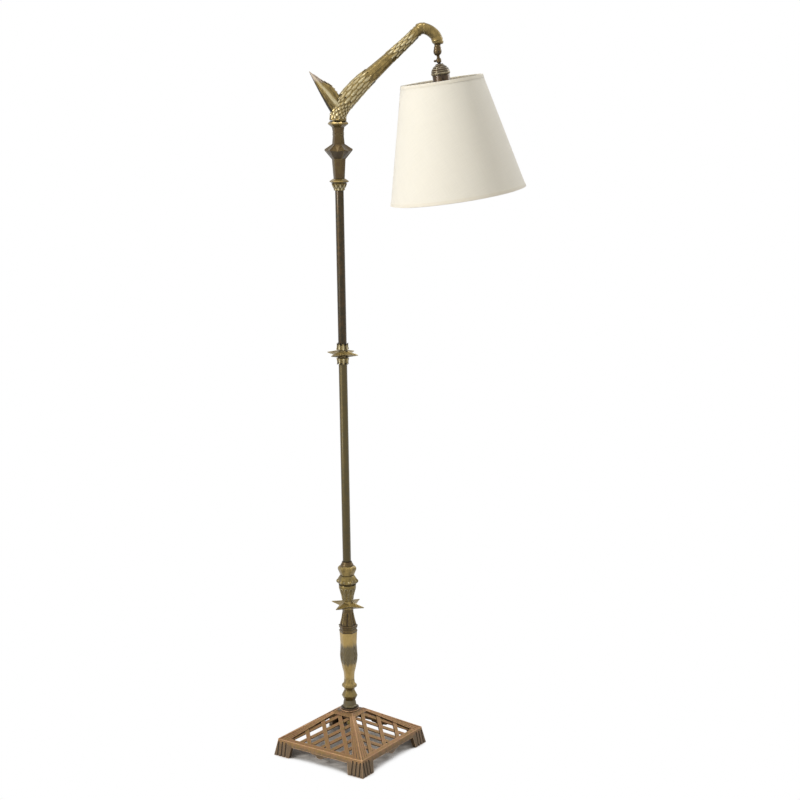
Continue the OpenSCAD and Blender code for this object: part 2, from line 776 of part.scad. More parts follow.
module arm_casting() {
    color(brass) at_column() difference() {
        sweep(refine(arm_stations, 2), 90, crest_turn, sweep_sides, channel_r);
        translate([lead_from[0], 0, lead_from[1]]) rotate([0, lead_bend, 0])
            cylinder(r = channel_r + 0.5, h = norm(lead_into - lead_from));
        translate([0, 0, z_arm - 1]) cylinder(r = nut_r + 1, h = nut_pocket_h + 1);
        translate([0, 0, z_arm]) cylinder(r = pivot_bush_r, h = nut_pocket_h + pivot_bush_h);
        translate([0, 0, swing_screw_z]) rotate([0, -90, 0])
            cylinder(r = swing_screw_r + bore_gap, h = 2 * arm_root_r);
    }
}

module arm_pivot_bush() {
    color(brass) at_column() difference() {
        translate([0, 0, z_pivot_bush]) cylinder(r = pivot_bush_r, h = pivot_bush_h);
        translate([0, 0, z_pivot_bush - 1]) cylinder(r = pipe_r + run_gap, h = pivot_bush_h + 2);
        translate([0, 0, swing_screw_z]) rotate([0, -90, 0])
            cylinder(r = swing_screw_r + run_gap, h = 2 * arm_root_r);
    }
}

module swing_screw() {
    color(steel) at_column() translate([-pipe_groove_r - joint_gap, 0, swing_screw_z])
        rotate([0, -90, 0]) cylinder(r = swing_screw_r, h = arm_root_r - pipe_groove_r - 1.5);
}

module gooseneck() {
    color(brass) at_column()
        sweep(refine(neck_stations, 4), crest_turn, -90, sweep_sides, channel_r);
}

module nozzle_cup() {
    color(dark_brass) at_column() translate([pivot_x, 0, z_nozzle]) difference() {
        union() {
            turned([[0, nozzle_r], [nozzle_h * 0.3, nozzle_r - 0.8], [nozzle_h * 0.7, nozzle_r - 0.8],
                [nozzle_h, neck_end_r - 0.8]]);
            translate([0, 0, -spigot_len]) cylinder(r = spigot_r, h = spigot_len + 1);
        }
        translate([0, 0, -spigot_len - 1]) cylinder(r = channel_r + 0.2, h = nozzle_h + spigot_len + 2);
    }
}

module arm_lead() {
    end = z_nozzle - spigot_len + 0.5;
    inner = [for (s = refine(arm_stations, 2)) if (s[1] >= lead_into[1]) [s[0], s[1], lead_r, lead_r]];
    bend = [for (s = refine(neck_stations, 4)) [s[0], s[1], lead_r, lead_r]];
    line = concat([[lead_from[0], lead_from[1], lead_r, lead_r]], inner, [for (i = [1:len(bend) - 1]) bend[i]],
        [[pivot_x, end, lead_r, lead_r]]);
    color("saddlebrown") at_column() sweep(line, 90, -90, lead_sides);
}

// ---------------------------------------------------------------- swivel

module swivel_housing() {
    outer = [[0, -housing_r], [3.2, -housing_r], [5.6, -housing_r * 0.82], [8.2, -housing_r * 0.45],
        [housing_r, 0], [8.7, housing_r * 0.4], [7.9, housing_r * 0.75], [7.9, housing_top]];
    cavity = [for (a = [90:15:180]) [cavity_r * sin(a), cavity_r * cos(a)]];
    color(dark_brass) at_pivot() difference() {
        rotate([0, 0, 20]) rotate_extrude()
            polygon(concat(outer, [[cavity_r, housing_top]], cavity));
        // slot for the stem's swing, from inwards of upright to well outwards
        rotate([90, 0, 0]) linear_extrude(2 * slot_half, center = true)
            polygon([[-3, 0], [-housing_r * 0.62, -housing_r * 1.3], [housing_r * 1.6, -housing_r * 1.3],
                [housing_r * 1.6, -housing_r * 0.42], [3, 1]]);
        rotate([90, 0, 0]) rotate([0, 0, 30])
            cylinder(r = trunnion_r + run_gap, h = 3 * housing_r, center = true);
    }
}

module trunnion_screws() {
    color(steel) at_pivot() for (side = [-1, 1])
        rotate([side * 90, 0, 0]) translate([0, 0, trunnion_reach])
            cylinder(r = trunnion_r, h = housing_r - trunnion_reach + 0.4);
}

module swivel_ball() {
    color(brass) at_head() difference() {
        union() {
            sphere(r = ball_r);
            translate([0, 0, -stem_len]) cylinder(r = stem_r, h = stem_len);
        }
        translate([0, 0, -stem_len - 1]) cylinder(r = stem_bore_r, h = stem_len + ball_r + 2);
        for (side = [-1, 1]) rotate([side * 90, 0, 0]) translate([0, 0, trunnion_reach - joint_gap])
            cylinder(r = trunnion_r + run_gap, h = ball_r);
    }
}

module stem_collar() {
    color(dark_brass) at_head() difference() {
        translate([0, 0, -collar_drop - collar_h]) turned([[0, collar_r - 1.4], [collar_h * 0.2, collar_r],
            [collar_h * 0.75, collar_r], [collar_h, collar_r - 1.2]]);
        translate([0, 0, -collar_drop - collar_h - 1]) cylinder(r = stem_r + run_gap, h = collar_h + 2);
        translate([0, 0, -collar_drop - collar_h / 2]) rotate([0, -90, 0])
            cylinder(r = trunnion_r + run_gap, h = 2 * collar_r);
    }
}

module stem_screw() {
    color(dark_brass) at_head() translate([-stem_r - run_gap, 0, -collar_drop - collar_h / 2])
        rotate([0, -90, 0]) {
            cylinder(r = trunnion_r, h = collar_r);
            translate([0, 0, collar_r - 2.4]) cylinder(r = 2.6, h = 2.4);
            translate([0, 0, collar_r]) sphere(r = 2.4);
        }
}

// ---------------------------------------------------------------- socket

module ring(r_in, r_out, top, bottom) {
    translate([0, 0, -bottom]) difference() {
        cylinder(r = r_out, h = bottom - top);
        translate([0, 0, -1]) cylinder(r = r_in, h = bottom - top + 2);
    }
}

module socket_cap() {
    cap_t = 1.2;
    outer = [[stem_r + run_gap, -cap_drop], [8, -cap_drop], [9.5, -cap_drop - 3], [14.5, -cap_drop - 6],
        [16, -cap_drop - 9], [18, -cap_drop - 10.5], [skirt_r, -cap_drop - 15], [skirt_r, -cap_end]];
    inner = [[shell_r + run_gap, -cap_end], [shell_r + run_gap, -cap_drop - 15.5], [18 - cap_t, -cap_drop - 12],
        [14.5, -cap_drop - 8.5], [8, -cap_drop - 6], [stem_r + run_gap, -cap_drop - 6]];
    color(brass) at_head() rotate_extrude() polygon(concat(outer, inner));
}

module beaded_band() {
    beads = 36;
    color(brass) at_head() {
        ring(skirt_r, skirt_r + 0.6, cap_end - 6, cap_end - 1);
        difference() {
            for (k = [0:beads - 1]) rotate([0, 0, 360 * k / beads])
                translate([skirt_r + 0.1, 0, -cap_end + 3.5]) cylinder(r = 1, h = 3, center = true, $fn = 16);
            translate([0, 0, -cap_end]) cylinder(r = skirt_r, h = cap_h);
        }
    }
}

module key_hole(gap) {
    translate([0, 0, -key_drop]) rotate([90, 0, 0]) cylinder(r = key_r + gap, h = 2 * shell_r);
}

module socket_shell() {
    color(dark_brass) at_head() difference() {
        union() {
            ring(shell_r - shell_t, shell_r, shell_top, shell_end);
            ring(shell_r - shell_t, shell_r + 0.8, bead_drop, fitter_drop);
        }
        key_hole(joint_gap);
    }
}

module insulating_sleeve() {
    color("tan") at_head() difference() {
        ring(sleeve_r - sleeve_t, sleeve_r, shell_top + 2, shell_end - 2);
        key_hole(joint_gap);
    }
}

module socket_core() {
    color([0.15, 0.12, 0.1]) at_head() difference() {
        union() {
            ring(lead_r, core_r, core_top, core_end);
            ring(thread_r + thread_t, core_r, core_end, shell_end - 3);
        }
        for (side = [-1, 1]) translate([side * 10, 0, -core_top - 8]) cylinder(r = 1.5, h = 10);
        translate([0, -7, -key_drop]) rotate([90, 0, 0]) cylinder(r = key_r + run_gap, h = core_r);
    }
}

module screw_shell() {
    color(brass) at_head() ring(thread_r, thread_r + thread_t, core_end, shell_end - 3);
}

module centre_contact() {
    color(brass) at_head() translate([0, 0, -core_end - 1.6]) cylinder(r = 4, h = 1.6);
}

module terminal_screws() {
    color(brass) at_head() for (side = [-1, 1]) translate([side * 10, 0, -core_top]) {
        cylinder(r = 3, h = 1.8);
        translate([0, 0, -7]) cylinder(r = 1.45, h = 8);
    }
}

module switch_key() {
    paddle_w = 12;
    color([0.12, 0.1, 0.08]) at_head() translate([0, 0, -key_drop]) rotate([90, 0, 0]) {
        translate([0, 0, 7.4]) cylinder(r = key_r, h = shell_r);
        translate([0, 0, shell_r + 3]) difference() {
            intersection() {
                cylinder(r = paddle_w / 2, h = 14);
                translate([-1.8, -paddle_w, 0]) cube([3.6, 2 * paddle_w, 14]);
            }
            for (side = [-1, 1]) translate([side * 3.6, 0, 7]) rotate([90, 0, 0])
                cylinder(r = 2.4, h = 2 * paddle_w, center = true);
        }
    }
}

module fitter_ring() {
    color(brass) at_head() ring(shell_r + run_gap, fitter_r, fitter_drop, fitter_drop + fitter_t);
}

module fitter_nut() {
    grips = 24;
    color(brass) at_head() difference() {
        ring(shell_r + run_gap, fitter_r - 1, fitter_drop + fitter_t, fitter_drop + fitter_t + 4);
        for (k = [0:grips - 1]) rotate([0, 0, 360 * k / grips])
            translate([fitter_r - 0.4, 0, -fitter_drop - fitter_t - 5]) cylinder(r = 1, h = 6, $fn = 16);
    }
}

// ---------------------------------------------------------------- shade

function shade_r(drop) = shade_top_r + (drop - shade_drop) * shade_slope;

module cone_band(top, bottom, inset, outset) {
    rotate_extrude() polygon([[shade_r(top) - inset, -top], [shade_r(top) + outset, -top],
        [shade_r(bottom) + outset, -bottom], [shade_r(bottom) - inset, -bottom]]);
}

module wire_loop(r, drop) {
    rotate_extrude() translate([r, -drop]) circle(r = wire_r, $fn = 24);
}

module shade_spider() {
    ring_drop = shade_drop + wire_r + 0.5;
    ring_r = shade_r(ring_drop) - shade_wall - wire_r - 0.3;
    hub_drop = fitter_drop + fitter_t / 2;
    rise = hub_drop - ring_drop;
    span = ring_r - fitter_r;
    overlong = 3 * wire_r;    // cut off again, round, where a spoke meets the fitter ring
    color(brass) at_head() difference() {
        union() {
            wire_loop(ring_r, ring_drop);
            for (turn = spoke_turns) rotate([0, 0, turn]) translate([fitter_r, 0, -hub_drop])
                rotate([0, atan2(span, rise), 0]) translate([0, 0, -overlong])
                    cylinder(r = wire_r, h = norm([span, rise]) + overlong, $fn = 32);
        }
        translate([0, 0, -hub_drop]) cylinder(r = fitter_r + run_gap, h = 2 * shell_len, center = true);
    }
}

module shade_foot_ring() {
    ring_drop = shade_end - wire_r - 0.5;
    color(brass) at_head() wire_loop(shade_r(ring_drop) - shade_wall - wire_r - 0.6, ring_drop);
}

module shade_cone() {
    color(ivory) at_head() cone_band(shade_drop, shade_end, shade_wall, 0);
}

module shade_top_hem() {
    color(ivory) at_head() cone_band(shade_drop, shade_drop + hem_w, 0, hem_t);
}

module shade_foot_hem() {
    color(ivory) at_head() cone_band(shade_end - hem_w, shade_end, 0, hem_t);
}

// ---------------------------------------------------------------- bulb

module bulb_glass() {
    glass_t = 1;
    neck_r = bulb_base_r + 0.4;
    arc = [for (a = [150:-10:0]) [bulb_r * sin(a), -globe_drop + bulb_r * cos(180 - a)]];
    hollow = [for (a = [0:10:150]) [(bulb_r - glass_t) * sin(a), -globe_drop + (bulb_r - glass_t) * cos(180 - a)]];
    color([0.95, 0.95, 0.9]) at_head() rotate_extrude() polygon(concat(
        [[neck_r, -bulb_neck]], arc, hollow, [[neck_r - glass_t, -bulb_neck]]));
}

module bulb_base() {
    color(steel) at_head() union() {
        ring(bulb_base_r - 1, bulb_base_r, core_end + 3, bulb_neck);
        translate([0, 0, -core_end - 4]) cylinder(r = bulb_base_r, h = 1);
        translate([0, 0, -core_end - 3.5]) cylinder(r = 4, h = 1.8);
    }
}

module socket_lead() {
    color("saddlebrown") at_head() translate([0, 0, -core_top]) cylinder(r = lead_r, h = core_top + ball_r - 1, $fn = 32);
}

base_casting();
base_washer();
base_lock_nut();
inlet_bush();
centre_pipe();
foot_collar();
diamond_knob();
ring_collar();
baluster();
ringed_band();
ribbed_skirt();
lower_star();
fluted_vase();
boss_ring();
hex_collar();
tube_cup();
lower_tube();
mid_calyx_lower();
mid_star();
mid_calyx_upper();
upper_tube();
capital();
lower_flange();
tapered_shaft();
diamond_collar();
waisted_neck();
upper_flange();
neck_lock_nut();
column_lead();
arm_casting();
arm_spur();
arm_pivot_bush();
swing_screw();
gooseneck();
nozzle_cup();
arm_lead();
swivel_housing();
trunnion_screws();
swivel_ball();
stem_collar();
stem_screw();
socket_cap();
beaded_band();
socket_shell();
insulating_sleeve();
socket_core();
screw_shell();
centre_contact();
terminal_screws();
switch_key();
fitter_ring();
fitter_nut();
shade_spider();
shade_foot_ring();
shade_cone();
shade_top_hem();
shade_foot_hem();
bulb_glass();
bulb_base();
socket_lead();
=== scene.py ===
"""Bridge floor lamp: a pierced cast base, a stacked brass column with cast ornament,
a forked arm with a gooseneck, and a hanging socket under an ivory fabric shade."""

import json
import math

import bpy
from mathutils import Matrix, Vector

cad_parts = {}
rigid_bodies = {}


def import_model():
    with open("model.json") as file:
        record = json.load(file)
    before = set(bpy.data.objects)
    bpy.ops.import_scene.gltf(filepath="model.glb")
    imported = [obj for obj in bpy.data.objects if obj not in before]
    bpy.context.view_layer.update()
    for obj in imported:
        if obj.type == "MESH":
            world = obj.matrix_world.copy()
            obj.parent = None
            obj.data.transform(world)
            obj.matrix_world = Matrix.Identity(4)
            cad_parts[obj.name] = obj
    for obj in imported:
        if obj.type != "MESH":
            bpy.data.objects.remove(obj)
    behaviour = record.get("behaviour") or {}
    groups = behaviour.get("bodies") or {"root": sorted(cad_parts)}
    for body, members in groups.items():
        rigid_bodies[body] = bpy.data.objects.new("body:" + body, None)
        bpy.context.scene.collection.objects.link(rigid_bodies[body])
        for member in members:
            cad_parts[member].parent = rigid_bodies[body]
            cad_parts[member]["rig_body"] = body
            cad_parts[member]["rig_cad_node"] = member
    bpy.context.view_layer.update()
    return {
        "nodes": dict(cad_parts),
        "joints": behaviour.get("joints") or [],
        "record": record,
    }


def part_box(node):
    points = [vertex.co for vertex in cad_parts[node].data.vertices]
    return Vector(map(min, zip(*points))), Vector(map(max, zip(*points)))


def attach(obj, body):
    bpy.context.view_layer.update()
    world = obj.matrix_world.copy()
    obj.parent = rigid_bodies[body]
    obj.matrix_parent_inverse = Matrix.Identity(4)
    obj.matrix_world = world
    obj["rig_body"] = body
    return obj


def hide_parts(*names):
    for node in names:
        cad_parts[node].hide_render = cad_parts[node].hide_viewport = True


bl_info = {
    "name": "Bridge floor lamp",
    "version": (1, 0, 0),
    "blender": (4, 5, 0),
    "location": "View3D > Sidebar > Lamp",
    "description": "Dresses the bridge floor lamp in cast brass, copper patina and ivory linen",
    "category": "Object",
}

for leftover in list(bpy.data.objects):
    bpy.data.objects.remove(leftover)
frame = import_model()

MM = 0.001
NODES = frame["nodes"]
JOINTS = {joint["name"]: joint for joint in frame["joints"]}
BODY_OF = {node: body for body, nodes in frame["record"]["behaviour"]["bodies"].items() for node in nodes}
SLOT_OF = {node: NODES[node].data.materials[0].name for node in NODES}

# Places that the frame gives: the column's axis, the pivot of the shade and the head's tilt
COLUMN = Vector((JOINTS["arm_swing"]["pos_m"][0], 0, 0))
PIVOT = Vector(JOINTS["shade_tilt"]["pos_m"])
KEY_FROM_PIVOT = Vector(JOINTS["switch_turn"]["pos_m"]) - PIVOT
SHADE_TILT = math.atan2(KEY_FROM_PIVOT.x, -KEY_FROM_PIVOT.z)
HEAD = Matrix.Translation(PIVOT) @ Matrix.Rotation(-SHADE_TILT, 4, "Y")

# The camera, as it was fitted to the photograph: place from the column's foot, and directions
CAMERA_FROM_COLUMN = Vector((-532.8, -3657.4, 1543.9)) * MM
CAMERA_HEADING = math.radians(10.256)
CAMERA_PITCH = math.radians(-10.939)
CAMERA_ROLL = math.radians(-0.79)
PHOTO_WIDTH = 800
FOCAL_PIXELS = 1671
SENSOR = 36

# The six-sided pieces of the column: direction of their first face
FACE_TURN = math.radians(15)
FACE_STEP = math.radians(60)

# The arm, in mm from the column's axis and the arm's foot
ARM_FOOT = JOINTS["arm_swing"]["pos_m"][2] / MM
REACH = (PIVOT.x - COLUMN.x) / MM
CREST_ABOVE_PIVOT = 51
CREST = PIVOT.z / MM + CREST_ABOVE_PIVOT
RISE = CREST - ARM_FOOT
ROOT_R = 17.5
CREST_R = 12
NECK_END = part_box("nozzle_cup")[1].z / MM
NECK_END_R = 9.5
SPUR_LEN = 91
SPUR_LEAN = math.radians(39)
SPUR_R = 20
SPUR_SET_BACK = 19.5    # of its foot, from the middle of the arm's root

# The base, in mm: half diagonals at the feet's tops and at the pyramid's top, and heights
BASE_SHOULDER = 169.5
BASE_TOP = 30
FOOT_HEIGHT = 38
PLINTH_HEIGHT = 6
PLINTH_R = 21
BASE_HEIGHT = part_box("base_casting")[1].z / MM
PYRAMID_END = BASE_HEIGHT - PLINTH_HEIGHT

# The shade, in mm down its own axis from the pivot
SHADE_TOP = 61
SHADE_HEIGHT = 256
SHADE_TOP_R = 91
SHADE_FOOT_R = 152
SHADE_WALL = 1
HEM_WIDTH = 7
HEM_WALL = 0.6
RIM_WIRE = 3.4    # the frame's wire, over which the hems are turned
SHADE_SLANT = math.hypot(SHADE_HEIGHT, SHADE_FOOT_R - SHADE_TOP_R)
SECTOR_OUTER = SHADE_SLANT * SHADE_FOOT_R / (SHADE_FOOT_R - SHADE_TOP_R)
SECTOR_ANGLE = 2 * math.pi * SHADE_FOOT_R / SECTOR_OUTER


def colour(code):
    """An sRGB hex value as the linear colour that a material keeps, with a full alpha"""
    parts = [int(code[i : i + 2], 16) / 255 for i in (1, 3, 5)]
    return [*(c / 12.92 if c <= 0.04045 else ((c + 0.055) / 1.055) ** 2.4 for c in parts), 1]


def length_setting(name, description, default):
    """A length in metres that a user may change"""
    return bpy.props.FloatProperty(
        name=name, description=description, default=default,
        min=0, precision=5, unit="LENGTH", subtype="DISTANCE",
    )


def colour_setting(name, description, code):
    """A colour that a user may change"""
    return bpy.props.FloatVectorProperty(
        name=name, description=description, default=colour(code), min=0, max=1, size=4, subtype="COLOR"
    )


class LampSizes(bpy.types.PropertyGroup):
    """Sizes of the lamp's finer work"""

    edge_round: length_setting("Edge rounding", "Radius of the worn edges of the castings", 0.45 * MM)
    line_radius: length_setting("Raised line", "Radius of the raised lines of the cast ornament", 0.6 * MM)
    leaf_relief: length_setting("Leaf relief", "How far the cast leaves stand off the arm", 2.3 * MM)
    cast_grain: length_setting("Cast grain", "Size of the sand grain left in the castings", 0.9 * MM)
    thread_pitch: length_setting("Thread pitch", "Distance between the shade's drawn threads", 1.3 * MM)


class LampColours(bpy.types.PropertyGroup):
    """Colours of the lamp's finishes"""

    gold: colour_setting("Gold", "Warm brass of the arm and the ornament", "#9C854D")
    # bright lightens edges and high relief: wear, and partly a painted highlight
    bright: colour_setting("Worn brass", "Brass where it is rubbed bright", "#E6DBB4")
    olive: colour_setting("Olive", "Patina left on aged brass", "#5F5029")
    dull_gold: colour_setting("Dull gold", "Brass of the darker column castings", "#86733F")
    brown: colour_setting("Brown", "Dark brown lacquered brass", "#523E22")
    # umber is the patina in the recesses, and also the painted shade on undersides and low relief
    umber: colour_setting("Umber", "Darkest patina, deep in the recesses", "#1B1409")
    # upper_tube is the same brass as lower_tube, painted darker as a painted reflection of darker surroundings
    upper_tube: colour_setting("Upper tube", "Dark olive patina of the upper tube", "#2E2A19")
    lower_tube: colour_setting("Lower tube", "Worn olive patina of the lower tube", "#50472C")
    gilt: colour_setting("Gilt", "Gilt finish of the baluster", "#AD9259")
    grey_green: colour_setting("Grey-green", "Verdigris worn to grey", "#605843")
    spur_grey: colour_setting("Spur grey", "Pinkish grey of the spur's tip", "#B9A89B")
    shell_brown: colour_setting("Shell brown", "Dark purple-brown of the socket", "#40342A")
    copper: colour_setting("Copper", "Copper-brown of the base", "#8C6445")
    # copper_worn lightens the base's edges and ridges: wear, and partly a painted highlight
    copper_worn: colour_setting("Worn copper", "Copper rubbed bright on the ridges", "#E0B184")
    base_olive: colour_setting("Base olive", "Olive patina over the base's bars", "#75622C")
    foot_brown: colour_setting("Foot brown", "Grey-brown of the feet", "#5C4D39")
    ivory: colour_setting("Ivory", "Fabric of the shade", "#F1EBDC")
    hem: colour_setting("Hem", "Tape along the shade's edges", "#EDE6D5")


# ------------------------------------------------------------------ materials


def node(tree, kind, inputs=None, **properties):
    """Adds a shader node; each input is a value, or another node's output that is linked to it"""
    made = tree.nodes.new(kind)
    for name, value in properties.items():
        setattr(made, name, value)
    for name, value in (inputs or {}).items():
        if isinstance(value, bpy.types.NodeSocket):
            tree.links.new(value, made.inputs[name])
        else:
            made.inputs[name].default_value = value
    return made


def blank_material(name):
    """A new material with an empty node tree, and the tree"""
    material = bpy.data.materials.new(name)
    material.use_nodes = True
    material.node_tree.nodes.clear()
    return material, material.node_tree


EASED = {"interpolation_type": "SMOOTHSTEP"}    # for Map Range: value, from low, from high, to low, to high
BLEND = {"data_type": "RGBA"}                   # for Mix: 0 is the share, 6 and 7 the colours


def cast_metal(name, metal, tint, patina, worn, grain, roughness=0.32, recess_mm=4, age=0.94, edge_wear_and_highlight=0.5,
               edge_mm=0.7, under=0.6, bands=(), relief=0.0):
    """Patinated metal: dark with patina in its recesses, darkened on its undersides as painted shade,
    clouded and streaked on its faces, and lighter on its edges, as wear and partly as painted highlight.
    bands are (low, high, colour): heights in metres between which another patina covers the metal.
    With relief, the piece's own attribute of that name says where its ornament stands up and is
    lightened, 1, as wear and painted highlight, and where it lies low and is darkened, -1, as patina
    and painted shade"""
    material, tree = blank_material(name)
    where = node(tree, "ShaderNodeTexCoord")
    place = where.outputs["Object"]
    cloud, streak_width, streak_length = 9 * MM, 3 * MM, 45 * MM
    clouds = node(
        tree, "ShaderNodeTexNoise", {"Vector": place, "Scale": 1 / cloud, "Detail": 5, "Roughness": 0.65}
    ).outputs[0]
    squeeze = (1 / streak_width, 1 / streak_width, 1 / streak_length)
    upright = node(tree, "ShaderNodeMapping", {"Vector": place, "Scale": squeeze}).outputs[0]
    streaks = node(tree, "ShaderNodeTexNoise", {"Vector": upright, "Scale": 1, "Detail": 3}).outputs[0]
    sand = node(tree, "ShaderNodeTexNoise", {"Vector": place, "Scale": 1 / grain, "Detail": 2}).outputs[0]

    share = node(tree, "ShaderNodeMapRange", {0: clouds, 1: 0.36, 2: 0.7, 4: 0.75}, **EASED).outputs[0]
    skin = node(tree, "ShaderNodeMix", {0: share, 6: metal, 7: tint}, **BLEND).outputs[2]
    share = node(tree, "ShaderNodeMapRange", {0: streaks, 1: 0.42, 2: 0.72, 4: 0.6}, **EASED).outputs[0]
    skin = node(tree, "ShaderNodeMix", {0: share, 6: skin, 7: tint}, **BLEND).outputs[2]
    height = node(tree, "ShaderNodeSeparateXYZ", {0: place}).outputs["Z"]
    tongue, soft = 22 * MM, 6 * MM
    ragged = node(
        tree, "ShaderNodeMath", {0: streaks, 1: tongue, 2: height}, operation="MULTIPLY_ADD"
    ).outputs[0]
    for low, high, cover in bands:
        low, high = low + tongue / 2, high + tongue / 2
        above = node(tree, "ShaderNodeMapRange", {0: ragged, 1: low - soft, 2: low + soft}, **EASED).outputs[0]
        below = node(
            tree, "ShaderNodeMapRange", {0: ragged, 1: high - soft, 2: high + soft, 3: 0.9, 4: 0}, **EASED
        ).outputs[0]
        share = node(tree, "ShaderNodeMath", {0: above, 1: below}, operation="MULTIPLY").outputs[0]
        skin = node(tree, "ShaderNodeMix", {0: share, 6: skin, 7: cover}, **BLEND).outputs[2]

    reach = {"Distance": recess_mm * MM}
    open_sky = node(tree, "ShaderNodeAmbientOcclusion", reach, samples=8).outputs["AO"]
    recess = node(
        tree, "ShaderNodeMapRange", {0: open_sky, 1: 0.45, 2: 0.98, 3: age, 4: 0}, **EASED
    ).outputs[0]
    # Faces that turn downwards, by their object-space normal, go towards the patina colour too: painted shade
    # on the undersides
    facing = node(tree, "ShaderNodeSeparateXYZ", {0: where.outputs["Normal"]}).outputs["Z"]
    painted_underside_shade = node(
        tree, "ShaderNodeMapRange", {0: facing, 1: -0.85, 2: 0, 3: under, 4: 0}, **EASED
    ).outputs[0]
    dark = node(tree, "ShaderNodeMath", {0: recess, 1: painted_underside_shade}, operation="MAXIMUM").outputs[0]
    skin = node(tree, "ShaderNodeMix", {0: dark, 6: skin, 7: patina}, **BLEND).outputs[2]
    # Low relief takes the patina colour, as patina and painted shade; high relief takes the worn colour, as
    # wear and painted highlight
    if relief:
        carved = node(tree, "ShaderNodeAttribute", attribute_name="relief").outputs["Fac"]
        low_relief_patina_and_shade = node(
            tree, "ShaderNodeMapRange", {0: carved, 1: -0.9, 2: -0.05, 3: relief, 4: 0}, **EASED
        ).outputs[0]
        skin = node(tree, "ShaderNodeMix", {0: low_relief_patina_and_shade, 6: skin, 7: patina}, **BLEND).outputs[2]
        edges = node(
            tree, "ShaderNodeMapRange", {0: carved, 1: 0.35, 2: 1, 3: 0, 4: 0.7 * relief}, **EASED
        ).outputs[0]
    else:
        reach = {"Distance": edge_mm * MM}
        within = node(tree, "ShaderNodeAmbientOcclusion", reach, samples=8, inside=True).outputs["AO"]
        edges = node(
            tree, "ShaderNodeMapRange", {0: within, 1: 0.4, 2: 0.9, 3: edge_wear_and_highlight, 4: 0}, **EASED
        ).outputs[0]
    # Edges, or high relief, take the worn colour: wear, and partly a painted highlight
    patchy = node(tree, "ShaderNodeMapRange", {0: clouds, 1: 0.3, 2: 0.6, 3: 0.3, 4: 1}, **EASED).outputs[0]
    share = node(tree, "ShaderNodeMath", {0: edges, 1: patchy}, operation="MULTIPLY").outputs[0]
    skin = node(tree, "ShaderNodeMix", {0: share, 6: skin, 7: worn}, **BLEND).outputs[2]

    bared = node(tree, "ShaderNodeMapRange", {0: dark, 1: 0, 2: 0.9, 3: 0.72, 4: 0.25}, **EASED).outputs[0]
    gloss = node(
        tree, "ShaderNodeMapRange", {0: clouds, 1: 0.3, 2: 0.7, 3: roughness, 4: roughness + 0.14}, **EASED
    ).outputs[0]
    bump = node(tree, "ShaderNodeBump", {"Height": sand, "Strength": 0.4, "Distance": 0.15 * MM}).outputs[0]
    surface = node(
        tree,
        "ShaderNodeBsdfPrincipled",
        {
            "Base Color": skin,
            "Metallic": bared,
            "Roughness": gloss,
            "Normal": bump,
            "Coat Weight": 0.2,
            "Coat Roughness": 0.18,
        },
    )
    node(tree, "ShaderNodeOutputMaterial", {"Surface": surface.outputs[0]})
    return material


def plain_surface(name, base, speck, speck_size, metallic, roughness, bump_mm=0.03, **extra):
    """A plain made surface: two close tones by a fine noise, and a fine bump"""
    material, tree = blank_material(name)
    place = node(tree, "ShaderNodeTexCoord").outputs["Object"]
    fine = 1 / speck_size
    noise = node(tree, "ShaderNodeTexNoise", {"Vector": place, "Scale": fine, "Detail": 3}).outputs[0]
    share = node(tree, "ShaderNodeMapRange", {0: noise, 1: 0.35, 2: 0.65}, **EASED).outputs[0]
    skin = node(tree, "ShaderNodeMix", {0: share, 6: base, 7: speck}, **BLEND).outputs[2]
    rise = bump_mm * MM
    bump = node(tree, "ShaderNodeBump", {"Height": noise, "Strength": 0.3, "Distance": rise}).outputs[0]
    surface = node(
        tree,
        "ShaderNodeBsdfPrincipled",
        {"Base Color": skin, "Metallic": metallic, "Roughness": roughness, "Normal": bump, **extra},
    )
    node(tree, "ShaderNodeOutputMaterial", {"Surface": surface.outputs[0]})
    return material


def slub_linen(name, base, pitch, depth_mm):
    """Linen laminated on a stiff liner. Its thick and thin threads run straight on the flat cut,
    so the pattern reads the piece's UV map, in metres. The real threads, about 0.5 mm apart, are
    too fine to show, so they are drawn coarser"""
    material, tree = blank_material(name)
    flat = node(tree, "ShaderNodeUVMap", uv_map="cut").outputs["UV"]
    thread_length = 45 * MM
    threads = []
    for across, along in ((1 / pitch, 1 / thread_length), (1 / thread_length, 1 / pitch)):
        run = node(tree, "ShaderNodeMapping", {"Vector": flat, "Scale": (across, along, 1)}).outputs[0]
        thread = node(tree, "ShaderNodeTexNoise", {"Vector": run, "Scale": 1, "Detail": 2})
        threads.append(thread.outputs[0])
    weave = node(tree, "ShaderNodeMath", {0: threads[0], 1: threads[1]}, operation="ADD").outputs[0]
    darker = [*(c * 0.97 for c in base[:3]), 1]
    share = node(tree, "ShaderNodeMapRange", {0: weave, 1: 0.75, 2: 1.25}, **EASED).outputs[0]
    skin = node(tree, "ShaderNodeMix", {0: share, 6: darker, 7: base}, **BLEND).outputs[2]
    rise = depth_mm * MM
    bump = node(tree, "ShaderNodeBump", {"Height": weave, "Strength": 0.35, "Distance": rise}).outputs[0]
    surface = node(
        tree,
        "ShaderNodeBsdfPrincipled",
        {
            "Base Color": skin,
            "Roughness": 0.88,
            "Specular IOR Level": 0.25,
            "Sheen Weight": 0.15,
            "Subsurface Weight": 0.5,
            "Subsurface Radius": (1, 1, 1),
            "Subsurface Scale": 2 * MM,
            "Normal": bump,
        },
    )
    node(tree, "ShaderNodeOutputMaterial", {"Surface": surface.outputs[0]})
    return material


FINISHES = {}


